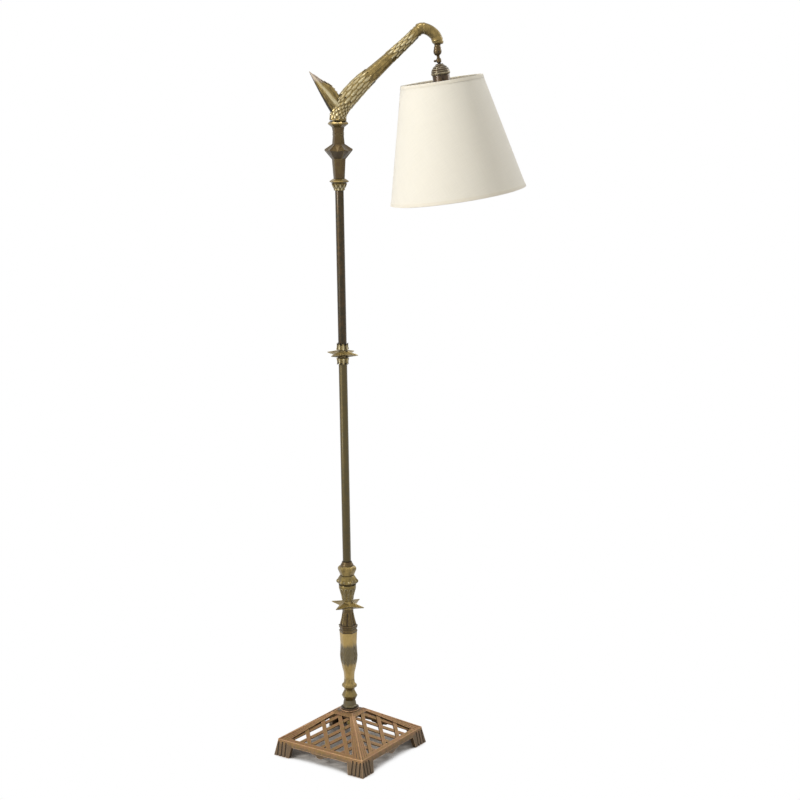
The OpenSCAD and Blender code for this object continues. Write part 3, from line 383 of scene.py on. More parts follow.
def make_finishes(context):
    """One material for each finish on the lamp, named for what it really is"""
    sizes = context.scene.lamp_sizes
    paint = context.scene.lamp_colours
    grain = sizes.cast_grain
    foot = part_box("baluster")[0].z
    pyramid_end = PYRAMID_END * MM
    aged = (paint.olive, paint.umber, paint.bright, grain)      # clouds, recess patina with painted underside shade, edges worn and painted bright, and grain
    browned = (paint.olive, paint.umber, paint.gold, grain)
    carved = dict(recess_mm=6, age=0.97, relief=0.8)
    # Each cast finish below also darkens its undersides towards its patina colour: painted shade
    FINISHES.update(
        # Sand-cast brass: warm gold faces, dark olive patina in the recesses, edges lightened as wear on the
        # high spots and partly as painted highlight
        aged_brass=cast_metal("sand_cast_brass", paint.gold, *aged, recess_mm=6, age=0.97),
        # The same casting under carved leaves: ridges lightened to cream as wear and painted highlight,
        # outlines darkened as patina and painted shade
        carved_brass=cast_metal("carved_cast_brass", paint.gold, *aged, **carved),
        # The spur's casting, greyed towards its tip; its relief attribute gives a painted highlight on its
        # ridge and painted shade in its hollows and on its outer edge, over wear and patina
        spur_brass=cast_metal(
            "greyed_cast_brass", paint.gold, *aged, relief=0.9, bands=[(1537 * MM, 1600 * MM, paint.spur_grey)]
        ),
        # Brass left duller and darker between its edges
        olive_brass=cast_metal("dull_cast_brass", paint.dull_gold, *aged, recess_mm=6, age=0.97),
        # Dull brass carved with small leaves
        capital_brass=cast_metal("carved_dull_brass", paint.dull_gold, *aged, **carved),
        # Gilt cast brass, its gilding worn through to grey verdigris round the middle
        gilt_brass=cast_metal(
            "gilt_cast_brass", paint.gilt, paint.gold, paint.umber, paint.bright, grain, edge_wear_and_highlight=0.3,
            bands=[(foot + 38 * MM, foot + 84 * MM, paint.grey_green)],
        ),
        # Brass under a brown lacquer: dark faces with thin brighter edges, as wear and partly as painted
        # highlight
        dark_brass=cast_metal("brown_lacquered_brass", paint.brown, *browned, edge_wear_and_highlight=0.7),
        # Cast brass gone green-grey under the polish: dull faces, dark corners
        dull_brass=cast_metal("verdigris_cast_brass", paint.grey_green, *browned, roughness=0.42),
        # Coppered casting: red-brown ridges lightened as wear and partly as painted highlight, olive recesses,
        # dark feet and plinth
        copper_patina=cast_metal(
            "coppered_casting", paint.copper, paint.base_olive, paint.umber, paint.copper_worn, grain,
            roughness=0.4, recess_mm=8, age=0.88, edge_wear_and_highlight=0.8, edge_mm=1.2, under=0.3,
            bands=[
                (-40 * MM, 31 * MM, paint.foot_brown),
                (pyramid_end, pyramid_end + 40 * MM, paint.umber),
            ],
        ),
        # Drawn brass tube, browned dark and evenly dull; painted darker than the lower tube, a painted
        # reflection of darker surroundings
        upper_tube=cast_metal(
            "upper_browned_brass_tube_painted_darker", paint.upper_tube, paint.brown, paint.umber, paint.gold, grain, edge_wear_and_highlight=0
        ),
        # The same browned tube, lighter than the upper one; the difference is the upper tube's painted
        # reflection
        lower_tube=cast_metal("lower_browned_brass_tube", paint.lower_tube, *browned, edge_wear_and_highlight=0),
        # Spun brass shell, browned almost to purple, its edges and rings lightened as wear and partly as
        # painted highlight
        socket_brown=cast_metal(
            "browned_spun_brass", paint.shell_brown, paint.brown, paint.umber, paint.bright, grain, edge_wear_and_highlight=0.5
        ),
        # Blued steel screw: near black with a soft sheen
        blued_steel=plain_surface("blued_steel", colour("#3A3A3B"), colour("#2C2C2E"), 3 * MM, 1.0, 0.4),
        # Turned brass, hardly aged: inner and fitting pieces
        brass=plain_surface("turned_brass", colour("#B39A5C"), colour("#9A8148"), 6 * MM, 1.0, 0.35),
        # Zinc-plated steel: cool grey and slightly blotched
        steel=plain_surface("zinc_plated_steel", colour("#A9ABAC"), colour("#8E9192"), 4 * MM, 1.0, 0.38),
        # Phenolic: brown-black moulding with a dull gloss
        phenolic=plain_surface("moulded_phenolic", colour("#2A211B"), colour("#201914"), 3 * MM, 0.0, 0.42),
        # Pressed board: fibrous, dry and tan
        paperboard=plain_surface(
            "pressed_board", colour("#B39B77"), colour("#A08862"), 1.5 * MM, 0.0, 0.9, 0.1
        ),
        # Frosted bulb glass: milky, soft highlights
        glass=plain_surface(
            "frosted_glass", colour("#F4F3EE"), colour("#EDECE6"), 8 * MM, 0.0, 0.4, 0.01,
            **{"Transmission Weight": 0.35, "IOR": 1.5},
        ),
        # Cotton-braided lead: brown, matt, with a fine diamond of threads
        lead_cover=plain_surface(
            "braided_cotton", colour("#4A3523"), colour("#382617"), 0.8 * MM, 0.0, 0.85, 0.15
        ),
        # Slubbed linen on a liner, and the plain tape that binds it
        shade_fabric=slub_linen("slubbed_ivory_linen", list(paint.ivory), sizes.thread_pitch, 0.14),
        hem_tape=slub_linen("ivory_hem_tape", list(paint.hem), sizes.thread_pitch * 0.7, 0.1),
    )


# ------------------------------------------------------------------ shared work on meshes


def alone(piece=None):
    """Object mode with nothing selected, or with one piece selected and active"""
    if bpy.context.object and bpy.context.object.mode != "OBJECT":
        bpy.ops.object.mode_set(mode="OBJECT")
    bpy.ops.object.select_all(action="DESELECT")
    if piece:
        piece.select_set(True)
        bpy.context.view_layer.objects.active = piece


def edit_all(piece):
    """Edit mode with everything in the piece selected"""
    alone(piece)
    bpy.ops.object.mode_set(mode="EDIT")
    bpy.ops.mesh.select_mode(type="FACE")
    bpy.ops.mesh.select_all(action="SELECT")


def edit_faces(piece, test):
    """Edit mode with the faces selected that pass a test of their middle and their normal"""
    edit_all(piece)
    bpy.ops.mesh.select_all(action="DESELECT")
    bpy.ops.object.mode_set(mode="OBJECT")
    for face in piece.data.polygons:
        face.select = test(face.center, face.normal)
    bpy.ops.object.mode_set(mode="EDIT")


def edit_edges(piece, test):
    """Edit mode with the edges selected that pass a test of their two ends"""
    edit_all(piece)
    bpy.ops.mesh.select_mode(type="EDGE")
    bpy.ops.mesh.select_all(action="DESELECT")
    bpy.ops.object.mode_set(mode="OBJECT")
    corners = piece.data.vertices
    for edge in piece.data.edges:
        edge.select = test(*(corners[i].co for i in edge.vertices))
    bpy.ops.object.mode_set(mode="EDIT")


def apply_modifier(piece, kind, **settings):
    """Adds a modifier with its settings and applies it"""
    alone(piece)
    bpy.ops.object.modifier_add(type=kind)
    modifier = piece.modifiers[-1]
    for name, value in settings.items():
        setattr(modifier, name, value)
    bpy.ops.object.modifier_apply(modifier=modifier.name)


def smooth(piece, degrees=30):
    """Smooth shading, with edges sharper than the angle kept crisp"""
    alone(piece)
    bpy.ops.object.shade_smooth_by_angle(angle=math.radians(degrees))


def joined(piece, others):
    """One object from a piece and what is cast in one with it"""
    alone(piece)
    for other in others:
        other.select_set(True)
    bpy.ops.object.join()
    return piece


def fitted(piece, node_name, finish=None):
    """Gives a piece its finish and the body of the CAD node that it stands for, and hides that node"""
    material = FINISHES[finish or SLOT_OF[node_name]]
    piece.data.materials.clear()
    piece.data.materials.append(material)
    for face in piece.data.polygons:
        face.material_index = 0
    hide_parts(node_name)
    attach(piece, BODY_OF[node_name])
    return piece


def dressed(node_name, name, edge, sharp=28, weld=0.02):
    """A merged copy of a CAD node, its flat faces joined and its edges rounded over"""
    alone()
    piece = NODES[node_name].copy()
    piece.data = piece.data.copy()
    piece.name = piece.data.name = name
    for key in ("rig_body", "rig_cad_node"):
        del piece[key]
    piece.parent = None
    bpy.context.scene.collection.objects.link(piece)
    edit_all(piece)
    bpy.ops.mesh.customdata_custom_splitnormals_clear()
    bpy.ops.mesh.remove_doubles(threshold=weld * MM)
    bpy.ops.mesh.dissolve_limited(angle_limit=math.radians(0.6))
    bpy.ops.mesh.mark_sharp(clear=True)
    bpy.ops.object.mode_set(mode="OBJECT")
    if edge:
        apply_modifier(
            piece, "BEVEL", width=edge, segments=2, limit_method="ANGLE", angle_limit=math.radians(sharp),
            use_clamp_overlap=True,
        )
    smooth(piece, sharp)
    return piece


# ------------------------------------------------------------------ ornament


def raised_lines(name, lines, radius, closed=False):
    """Cast lines in relief: a round wire through each list of points"""
    alone()
    bpy.ops.curve.primitive_nurbs_path_add()
    piece = bpy.context.object
    piece.name = name
    curve = piece.data
    curve.splines.clear()
    for line in lines:
        spline = curve.splines.new("POLY")
        spline.points.add(len(line) - 1)
        for point, place in zip(spline.points, line):
            point.co = (*place, 1)
        spline.use_cyclic_u = closed
    curve.dimensions = "3D"
    curve.bevel_depth = radius
    curve.bevel_resolution = 2
    curve.use_fill_caps = True
    bpy.ops.object.convert(target="MESH")
    return bpy.context.object


def with_lines(piece, name, lines, radius, closed=False):
    """A piece with raised lines cast on it"""
    raised = raised_lines(name, lines, radius, closed)
    smooth(raised)
    return joined(piece, [raised])


def leaf_blank(length, width, relief, lobes=0, curl=0.0, cells=(12, 6)):
    """A cast leaf laid out flat, in mm: stalk at 0, tip along +X, its face up. It swells along the
    middle to a rib, its edge is cut into lobes with a vein to each, and its tip curls up"""
    alone()
    bpy.ops.mesh.primitive_grid_add(x_subdivisions=cells[0], y_subdivisions=cells[1], size=2)
    leaf = bpy.context.object
    leaf.name = "leaf_blank"
    carved = leaf.data.attributes.new("relief", "FLOAT", "POINT")
    for vertex in leaf.data.vertices:
        along = (vertex.co.x + 1) / 2
        across = vertex.co.y
        # The relief attribute: highest down the leaf's middle, lowest at its outline and tip. The material
        # lightens the middle as wear and painted highlight and darkens the outline as patina and painted shade
        carved.data[vertex.index].value = 1 - 2 * max(abs(across), along**4) ** 2
        half = width / 2 * (0.6 + 0.4 * math.sin(math.pi * min(1, 1.5 * along))) * math.sqrt(1 - along**4)
        half *= 1 + 0.16 * math.sin(2 * math.pi * lobes * along) * (1 - along)
        swell = (1 - across**2) * (1 - 0.4 * along)
        rib = math.exp(-((across / 0.2) ** 2)) * (1 - along)
        vein = math.cos(2 * math.pi * lobes * (along - 0.35 * abs(across))) if lobes else 0
        height = relief * (0.6 * swell + 0.5 * rib + 0.3 * vein * abs(across) * (1 - along))
        vertex.co = (length * along, half * across, height + curl * along**2)
    edit_all(leaf)
    bpy.ops.mesh.remove_doubles(threshold=0.01)
    bpy.ops.object.mode_set(mode="OBJECT")
    apply_modifier(leaf, "SOLIDIFY", thickness=max(1.6, relief), offset=-1)
    return leaf


def laid(blank, place):
    """A copy of a flat leaf, each of its points moved to its place on a surface"""
    leaf = blank.copy()
    leaf.data = blank.data.copy()
    bpy.context.scene.collection.objects.link(leaf)
    for vertex in leaf.data.vertices:
        vertex.co = place(*vertex.co)
    return leaf


def with_leaves(piece, leaves):
    """A piece with leaves cast on it, their faces outwards"""
    if not leaves:
        return piece
    bunch = joined(leaves[0], leaves[1:])
    edit_all(bunch)
    bpy.ops.mesh.normals_make_consistent(inside=False)
    smooth(bunch, 50)
    return joined(piece, [bunch])


def discard(piece):
    """Removes a blank once it has been copied"""
    bpy.data.objects.remove(piece)


def skin_of(node_name):
    """Finds points on a column piece: angle about the column, height in mm above the piece's foot,
    and lift in mm off its skin"""
    low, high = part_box(node_name)
    target = NODES[node_name]
    margin = 0.05 * MM

    def place(angle, height, lift):
        outwards = Vector((math.cos(angle), math.sin(angle), 0))
        level = low.z + height * MM
        looked = min(max(level, low.z + margin), high.z - margin)
        start = COLUMN + outwards * 0.3 + Vector((0, 0, looked))
        found, where, _, _ = target.ray_cast(start, -outwards)
        if not found:
            raise RuntimeError(f"no skin of {node_name} at height {height}")
        return Vector((where.x, where.y, level)) + outwards * lift * MM

    return place


def ring_of_leaves(node_name, blank, count, height, radius, upwards=1, turn=0.0):
    """Leaves round a column piece at one height, pointing up or down"""
    skin = skin_of(node_name)
    leaves = []
    for k in range(count):
        angle = turn + 2 * math.pi * k / count

        def place(x, y, z, angle=angle):
            return skin(angle + y / radius, height + upwards * x, z)

        leaves.append(laid(blank, place))
    return leaves


# ------------------------------------------------------------------ the arm, its spur and the gooseneck


def hump(value, middle, width):
    """1 at the middle, falling off smoothly to both sides"""
    return math.exp(-(((value - middle) / width) ** 2))


def between(a, b, c, d, t):
    """A point of a smooth curve from b to c, with a before and d after them"""
    return [
        0.5 * (2 * q + (r - p) * t + (2 * p - 5 * q + 4 * r - s) * t**2 + (3 * q - p - 3 * r + s) * t**3)
        for p, q, r, s in zip(a, b, c, d)
    ]


class Bar:
    """A round bar bent in the lamp's own plane through stations of (x, z, half thickness), in mm
    from the column's axis and the floor"""

    def __init__(self, stations, steps=16):
        first = [2 * a - b for a, b in zip(stations[0], stations[1])]
        last = [2 * a - b for a, b in zip(stations[-1], stations[-2])]
        padded = [first, *stations, last]
        self.points = []
        for i in range(1, len(padded) - 2):
            for k in range(steps):
                self.points.append(between(*padded[i - 1 : i + 3], k / steps))
        self.points.append(list(stations[-1]))
        self.reached = [0.0]
        for a, b in zip(self.points, self.points[1:]):
            self.reached.append(self.reached[-1] + math.hypot(b[0] - a[0], b[1] - a[1]))
        self.length = self.reached[-1]

    def at(self, along):
        """Centre, direction and half thickness at a length along the bar"""
        along = min(max(along, 0), self.length)
        i = max(k for k in range(len(self.reached) - 1) if self.reached[k] <= along)
        share = (along - self.reached[i]) / (self.reached[i + 1] - self.reached[i])
        a, b = self.points[i], self.points[i + 1]
        x, z, r = (p + (q - p) * share for p, q in zip(a, b))
        return Vector((x, 0, z)), Vector((b[0] - a[0], 0, b[1] - a[1])).normalized(), r

    def place(self, along, angle, lift):
        """A point off the bar's skin; the angle is 0 on its upper edge and a quarter turn at its back"""
        beyond = max(0, along - self.length) + min(0, along)
        centre, ahead, r = self.at(along)
        upper = Vector((-ahead.z, 0, ahead.x))
        out = upper * math.cos(angle) + Vector((0, 1, 0)) * math.sin(angle)
        return COLUMN + (centre + ahead * beyond + out * (r + lift)) * MM

    def leaf_place(self, start, angle):
        """Where a flat leaf's points go when it lies on the bar and points along it"""
        r = self.at(start)[2]
        return lambda x, y, z: self.place(start + x, angle + y / r, z)

    def swept(self, name, swells=(), step=1.5, around=14):
        """The bar as a piece. swells are rings on it: (length along, half width, height) in mm"""
        count = int(self.length / step)
        alone()
        bpy.ops.curve.primitive_nurbs_path_add()
        piece = bpy.context.object
        piece.name = name
        curve = piece.data
        curve.splines.clear()
        spline = curve.splines.new("POLY")
        spline.points.add(count)
        for k, point in enumerate(spline.points):
            along = self.length * k / count
            centre, _, r = self.at(along)
            for middle, half, height in swells:
                off = abs(along - middle) / half
                r += height * math.sqrt(1 - off**2) if off < 1 else 0
            point.co = (*(COLUMN + centre * MM), 1)
            point.radius = r
        curve.dimensions = "3D"
        curve.bevel_depth = MM
        curve.bevel_resolution = around
        curve.use_fill_caps = True
        bpy.ops.object.convert(target="MESH")
        piece = bpy.context.object
        edit_all(piece)
        bpy.ops.mesh.remove_doubles(threshold=0.01 * MM)
        bpy.ops.mesh.normals_make_consistent(inside=False)
        bpy.ops.object.mode_set(mode="OBJECT")
        return piece


ARM_OUTLINE = [
    (0.000, 0.000, ROOT_R),
    (0.006, 0.070, ROOT_R - 0.3),
    (0.050, 0.170, ROOT_R + 0.8),
    (0.140, 0.290, ROOT_R + 1.3),
    (0.245, 0.410, ROOT_R + 0.3),
    (0.365, 0.525, ROOT_R - 2.2),
    (0.570, 0.730, CREST_R),
    (0.700, 0.860, CREST_R - 1.2),
    (0.775, 0.942, CREST_R - 0.8),
    (0.838, 1.000, CREST_R),
]
ARM = Bar([(x * REACH, ARM_FOOT + z * RISE, r) for x, z, r in ARM_OUTLINE])
NECK_RUN = REACH * (1 - ARM_OUTLINE[-1][0])
NECK_FALL = CREST - NECK_END
NECK_ROOT = 9    # how far the gooseneck's spigot goes back into the arm
NECK_START, _, _ = ARM.at(ARM.length - NECK_ROOT)
NECK = Bar([
    (NECK_START.x, NECK_START.z, CREST_R - 1.5),
    (REACH - NECK_RUN, CREST, CREST_R - 0.2),
    (REACH - 0.55 * NECK_RUN, CREST - 0.12 * NECK_FALL, CREST_R + 0.2),
    (REACH - 0.17 * NECK_RUN, CREST - 0.42 * NECK_FALL, CREST_R + 0.2),
    (REACH, CREST - 0.78 * NECK_FALL, (CREST_R + NECK_END_R) / 2 + 1.2),
    (REACH, NECK_END, NECK_END_R),
])
ROOT_X, ROOT_Z = ((a + b) / 2 for a, b in zip(ARM_OUTLINE[1][:2], ARM_OUTLINE[3][:2]))
SPUR_FOOT = (ROOT_X * REACH - SPUR_SET_BACK, ARM_FOOT + ROOT_Z * RISE)
SPUR_RUN = (-math.sin(SPUR_LEAN) * SPUR_LEN, math.cos(SPUR_LEAN) * SPUR_LEN)
SPUR = Bar([
    (SPUR_FOOT[0] + SPUR_RUN[0] * along, SPUR_FOOT[1] + SPUR_RUN[1] * along, thick * SPUR_R)
    for along, thick in ((-0.24, 0.4), (-0.16, 0.86), (-0.06, 1.02), (0.33, 0.72), (0.66, 0.4), (1, 0.04))
])


# ------------------------------------------------------------------ operators


class LAMP_OT_finishes(bpy.types.Operator):
    """Makes the lamp's materials and gives them to the inner pieces that keep their CAD shape"""

    bl_idname = "lamp.finishes"
    bl_label = "Finishes"

    def execute(self, context):
        make_finishes(context)
        for name, piece in NODES.items():
            piece.data.materials[0] = FINISHES[SLOT_OF[name]]
        return {"FINISHED"}


class LAMP_OT_base(bpy.types.Operator):
    """Cast base: pierced panels between fluted feet, with a bead along every rail and up every hip"""

    bl_idname = "lamp.base"
    bl_label = "Base"

    def execute(self, context):
        sizes = context.scene.lamp_sizes
        bead = sizes.line_radius * 1.8

        def point(degrees, reach, height):
            angle = math.radians(degrees)
            return COLUMN + Vector((reach * math.cos(angle), reach * math.sin(angle), height)) * MM

        low = [point(90 * k, BASE_SHOULDER, FOOT_HEIGHT) for k in range(5)]
        high = [point(90 * k, BASE_TOP, PYRAMID_END) for k in range(4)]
        hips = [[low[k], high[k]] for k in range(4)]
        rails = [[low[k], low[k + 1]] for k in range(4)]
        beads = raised_lines("base_beads", hips + rails, bead)
        seat = [point(6 * k, PLINTH_R, PYRAMID_END + 1) for k in range(60)]
        ring = raised_lines("base_ring", [seat], bead, closed=True)
        smooth(joined(beads, [ring]))
        piece = dressed("base_casting", "cast_base", sizes.edge_round * 1.5, weld=0.1)
        fitted(joined(piece, [beads]), "base_casting")
        return {"FINISHED"}


class LAMP_OT_column_castings(bpy.types.Operator):
    """The plain six-sided and turned pieces stacked on the column"""

    bl_idname = "lamp.column_castings"
    bl_label = "Column castings"

    def execute(self, context):
        sizes = context.scene.lamp_sizes
        edge = sizes.edge_round
        for node_name in ("ring_collar", "hex_collar", "lower_flange", "tapered_shaft", "upper_flange"):
            fitted(dressed(node_name, "cast_" + node_name, edge), node_name)
        fitted(dressed("diamond_knob", "cast_diamond_knob", edge), "diamond_knob", "olive_brass")
        fitted(dressed("foot_collar", "cast_foot_collar", edge), "foot_collar", "dull_brass")
        fitted(dressed("tube_cup", "turned_tube_cup", edge), "tube_cup")
        ringed = (("ringed_band", (4.1, 12.0), 1.2), ("waisted_neck", (19.8, 23.8), 0.9))
        for node_name, heights, thick in ringed:
            skin = skin_of(node_name)
            rings = [[skin(math.radians(5 * k), height, 0) for k in range(72)] for height in heights]
            piece = dressed(node_name, "cast_" + node_name, edge)
            bead = sizes.line_radius * thick
            fitted(with_lines(piece, node_name + "_rings", rings, bead, closed=True), node_name)
        return {"FINISHED"}


class LAMP_OT_baluster(bpy.types.Operator):
    """Gilt baluster with a pointed arch and a lozenge cast on each face"""

    bl_idname = "lamp.baluster"
    bl_label = "Baluster"

    def execute(self, context):
        sizes = context.scene.lamp_sizes
        skin = skin_of("baluster")
        radius = 18
        arch = [(-7, 50), (-7, 62), (-5, 70), (0, 79), (5, 70), (7, 62), (7, 50), (0, 38)]
        lozenge = [(0, 67), (3.2, 57), (0, 47), (-3.2, 57)]
        lines = []
        for k in range(6):
            face = FACE_TURN + k * FACE_STEP
            for outline in (arch, lozenge):
                lines.append([skin(face + math.atan2(u, radius), h, 0) for u, h in outline])
        ornament = raised_lines("baluster_arches", lines, sizes.line_radius, closed=True)
        smooth(ornament)
        ornament.data.materials.append(FINISHES["dull_brass"])
        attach(ornament, BODY_OF["baluster"])
        fitted(dressed("baluster", "cast_baluster", sizes.edge_round), "baluster")
        return {"FINISHED"}


class LAMP_OT_ribbed_skirt(bpy.types.Operator):
    """Dark skirt with upright ribs that close up towards its neck"""

    bl_idname = "lamp.ribbed_skirt"
    bl_label = "Ribbed skirt"

    def execute(self, context):
        sizes = context.scene.lamp_sizes
        skin = skin_of("ribbed_skirt")
        height = 37
        lines = []
        for k in range(6):
            for turn in (-22, -12, 12, 22):
                angle = FACE_TURN + k * FACE_STEP + math.radians(turn)
                lines.append([skin(angle, h, 0) for h in range(2, height - 3, 4)])
        piece = dressed("ribbed_skirt", "cast_ribbed_skirt", sizes.edge_round)
        fitted(with_lines(piece, "skirt_ribs", lines, sizes.line_radius), "ribbed_skirt")
        return {"FINISHED"}


class LAMP_OT_stars(bpy.types.Operator):
    """The two four-pointed stars, with a raised rib down each point and leaf cups by the upper one"""

    bl_idname = "lamp.stars"
    bl_label = "Stars and leaf cups"

    def execute(self, context):
        sizes = context.scene.lamp_sizes
        for node_name, reach in (("lower_star", 47.5), ("mid_star", 44)):
            low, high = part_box(node_name)
            middle = (low.z + high.z) / 2
            thick = (high.z - low.z) / 2
            lines = []
            for k in range(4):
                angle = math.radians(45 + 90 * k)
                for side in (-1, 1):
                    line = []
                    for out in (0.3, 0.55, 0.78, 0.96):
                        flat = Vector((math.cos(angle), math.sin(angle), 0)) * reach * out * MM
                        line.append(COLUMN + flat + Vector((0, 0, middle + side * thick * (1 - out))))
                    lines.append(line)
            piece = dressed(node_name, "cast_" + node_name, sizes.edge_round * 0.7, sharp=20)
            fitted(with_lines(piece, node_name + "_ribs", lines, sizes.line_radius), node_name)
        for node_name, upwards, foot in (("mid_calyx_lower", -1, 10), ("mid_calyx_upper", 1, 0)):
            blank = leaf_blank(15, 9.5, 1.8, lobes=2, curl=1.6)
            leaves = ring_of_leaves(node_name, blank, 8, foot, 12.5, upwards)
            discard(blank)
            piece = dressed(node_name, "cast_" + node_name, sizes.edge_round)
            fitted(with_leaves(piece, leaves), node_name, "capital_brass")
        return {"FINISHED"}


class LAMP_OT_vase(bpy.types.Operator):
    """Fluted vase with a round-topped lappet over each flute"""

    bl_idname = "lamp.vase"
    bl_label = "Fluted vase"

    def execute(self, context):
        sizes = context.scene.lamp_sizes
        skin = skin_of("fluted_vase")
        flutes = 10
        lines = []
        for k in range(flutes):
            middle = math.radians(360 * k / flutes)
            half = math.radians(13)
            left = [(middle - half, h) for h in (3, 10, 18, 25)]
            over = [
                (middle - half * math.cos(math.radians(a)), 25 + 6 * math.sin(math.radians(a)))
                for a in (30, 60, 90, 120, 150)
            ]
            right = [(middle + half, h) for h in (25, 18, 10, 3)]
            lines.append([skin(angle, h, 0.1) for angle, h in left + over + right])
        piece = dressed("fluted_vase", "cast_fluted_vase", sizes.edge_round)
        fitted(with_lines(piece, "vase_lappets", lines, sizes.line_radius), "fluted_vase", "olive_brass")
        return {"FINISHED"}


class LAMP_OT_boss_ring(bpy.types.Operator):
    """Collar with a pointed boss at each corner"""

    bl_idname = "lamp.boss_ring"
    bl_label = "Boss ring"

    def execute(self, context):
        sizes = context.scene.lamp_sizes
        low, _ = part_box("boss_ring")
        boss_r, boss_height, off_axis, level = 7.4 * MM, 7 * MM, 22.5 * MM, low.z + 8.6 * MM
        bosses = []
        for k in range(6):
            angle = FACE_TURN - FACE_STEP / 2 + k * FACE_STEP
            outwards = Vector((math.cos(angle), math.sin(angle), 0))
            alone()
            bpy.ops.mesh.primitive_cone_add(
                vertices=4, radius1=boss_r, radius2=0, depth=boss_height,
                location=COLUMN + outwards * off_axis + Vector((0, 0, level)),
                rotation=(0, math.pi / 2, angle),
            )
            boss = bpy.context.object
            bpy.ops.object.transform_apply(location=True, rotation=True, scale=True)
            apply_modifier(boss, "BEVEL", width=0.3 * MM, segments=2, limit_method="ANGLE")
            smooth(boss, 20)
            bosses.append(boss)
        piece = dressed("boss_ring", "cast_boss_ring", sizes.edge_round)
        fitted(joined(piece, bosses), "boss_ring", "olive_brass")
        return {"FINISHED"}


class LAMP_OT_tubes(bpy.types.Operator):
    """The two plain tubes, hollow, with their rims turned over a little"""

    bl_idname = "lamp.tubes"
    bl_label = "Tubes"

    def execute(self, context):
        wall = 1.5 * MM
        for node_name in ("lower_tube", "upper_tube"):
            low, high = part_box(node_name)
            alone()
            bpy.ops.mesh.primitive_cylinder_add(
                vertices=72, radius=(high.y - low.y) / 2, depth=high.z - low.z, end_fill_type="NOTHING",
                location=COLUMN + Vector((0, 0, (low.z + high.z) / 2)),
            )
            piece = bpy.context.object
            piece.name = "drawn_" + node_name
            bpy.ops.object.transform_apply(location=True, rotation=True, scale=True)
            apply_modifier(piece, "SOLIDIFY", thickness=wall, offset=-1)
            apply_modifier(piece, "BEVEL", width=0.3 * MM, segments=2, limit_method="ANGLE")
            smooth(piece)
            fitted(piece, node_name, node_name)
        return {"FINISHED"}


class LAMP_OT_capital(bpy.types.Operator):
    """Capital of small leaves that open under the flange"""

    bl_idname = "lamp.capital"
    bl_label = "Leafy capital"

    def execute(self, context):
        sizes = context.scene.lamp_sizes
        blank = leaf_blank(9, 7.5, 1.2, lobes=1, curl=0.8)
        leaves = ring_of_leaves("capital", blank, 10, 0.5, 12)
        discard(blank)
        blank = leaf_blank(9.5, 8, 1.4, lobes=1, curl=1.2)
        leaves += ring_of_leaves("capital", blank, 10, 6, 14, turn=math.radians(18))
        discard(blank)
        piece = dressed("capital", "cast_capital", sizes.edge_round)
        fitted(with_leaves(piece, leaves), "capital", "capital_brass")
        return {"FINISHED"}


class LAMP_OT_nailhead_collar(bpy.types.Operator):
    """Wide collar whose slanted faces are raised to nail heads"""

    bl_idname = "lamp.nailhead_collar"
    bl_label = "Nail-head collar"

    def execute(self, context):
        piece = dressed("diamond_collar", "cast_nailhead_collar", 0)
        corner_r, flat_rim, peak = 31 * MM, 1.3 * MM, 9.5 * MM

        def off_axis(place):
            return Vector((place.x - COLUMN.x, place.y)).length

        def round_the_rim(first, second):
            level = abs(first.z - second.z) < 0.1 * MM
            return level and off_axis(first) > corner_r * 0.95 and off_axis(second) > corner_r * 0.95

        edit_edges(piece, round_the_rim)
        bpy.ops.mesh.dissolve_edges(use_verts=False)
        edit_faces(piece, lambda middle, normal: abs(normal.z) < 0.5 and off_axis(middle) > corner_r * 0.5)
        bpy.ops.mesh.inset(thickness=flat_rim, depth=0, use_individual=True)
        bpy.ops.mesh.poke(offset=peak)
        bpy.ops.object.mode_set(mode="OBJECT")
        smooth(piece, 8)
        fitted(piece, "diamond_collar")
        return {"FINISHED"}


class LAMP_OT_arm(bpy.types.Operator):
    """Cast arm: scales round its root, lobed leaves up its lower and upper thirds, a band at its crest"""

    bl_idname = "lamp.arm"
    bl_label = "Arm"

    def execute(self, context):
        sizes = context.scene.lamp_sizes
        relief = sizes.leaf_relief / MM
        crest_band = ARM.length - 3
        piece = ARM.swept(
            "cast_arm", [(2.2, 2.2, 1.6), (crest_band, 3.2, 1.6), (crest_band - 8, 1.6, 1.0)]
        )
        smooth(piece)
        count, sunk, reeded = 12, 2.2, range(104, 190, 5)
        turns = [2 * math.pi * k / count for k in range(count)]
        reeds = [[ARM.place(along, angle, -sunk) for along in reeded] for angle in turns]
        with_lines(piece, "arm_reeds", reeds, sizes.line_radius * 5)
        leaves = []
        # Each zone: its leaf, where the first row starts, the rows' pitch and number, and leaves to a row
        for blank, start, pitch, rows, around in (
            (leaf_blank(9, 9, relief * 0.7, cells=(7, 6)), 4, 6, 7, 12),
            (leaf_blank(23, 13.5, relief, lobes=3, curl=1.2), 42, 10, 7, 8),
            (leaf_blank(21, 11, relief * 0.85, lobes=3, curl=0.8), ARM.length * 0.66, 11, 6, 7),
        ):
            for row in range(rows):
                for k in range(around):
                    angle = 2 * math.pi * (k + row % 2 / 2) / around
                    leaves.append(laid(blank, ARM.leaf_place(start + pitch * row, angle)))
            discard(blank)
        fitted(with_leaves(piece, leaves), "arm_casting", "carved_brass")
        return {"FINISHED"}


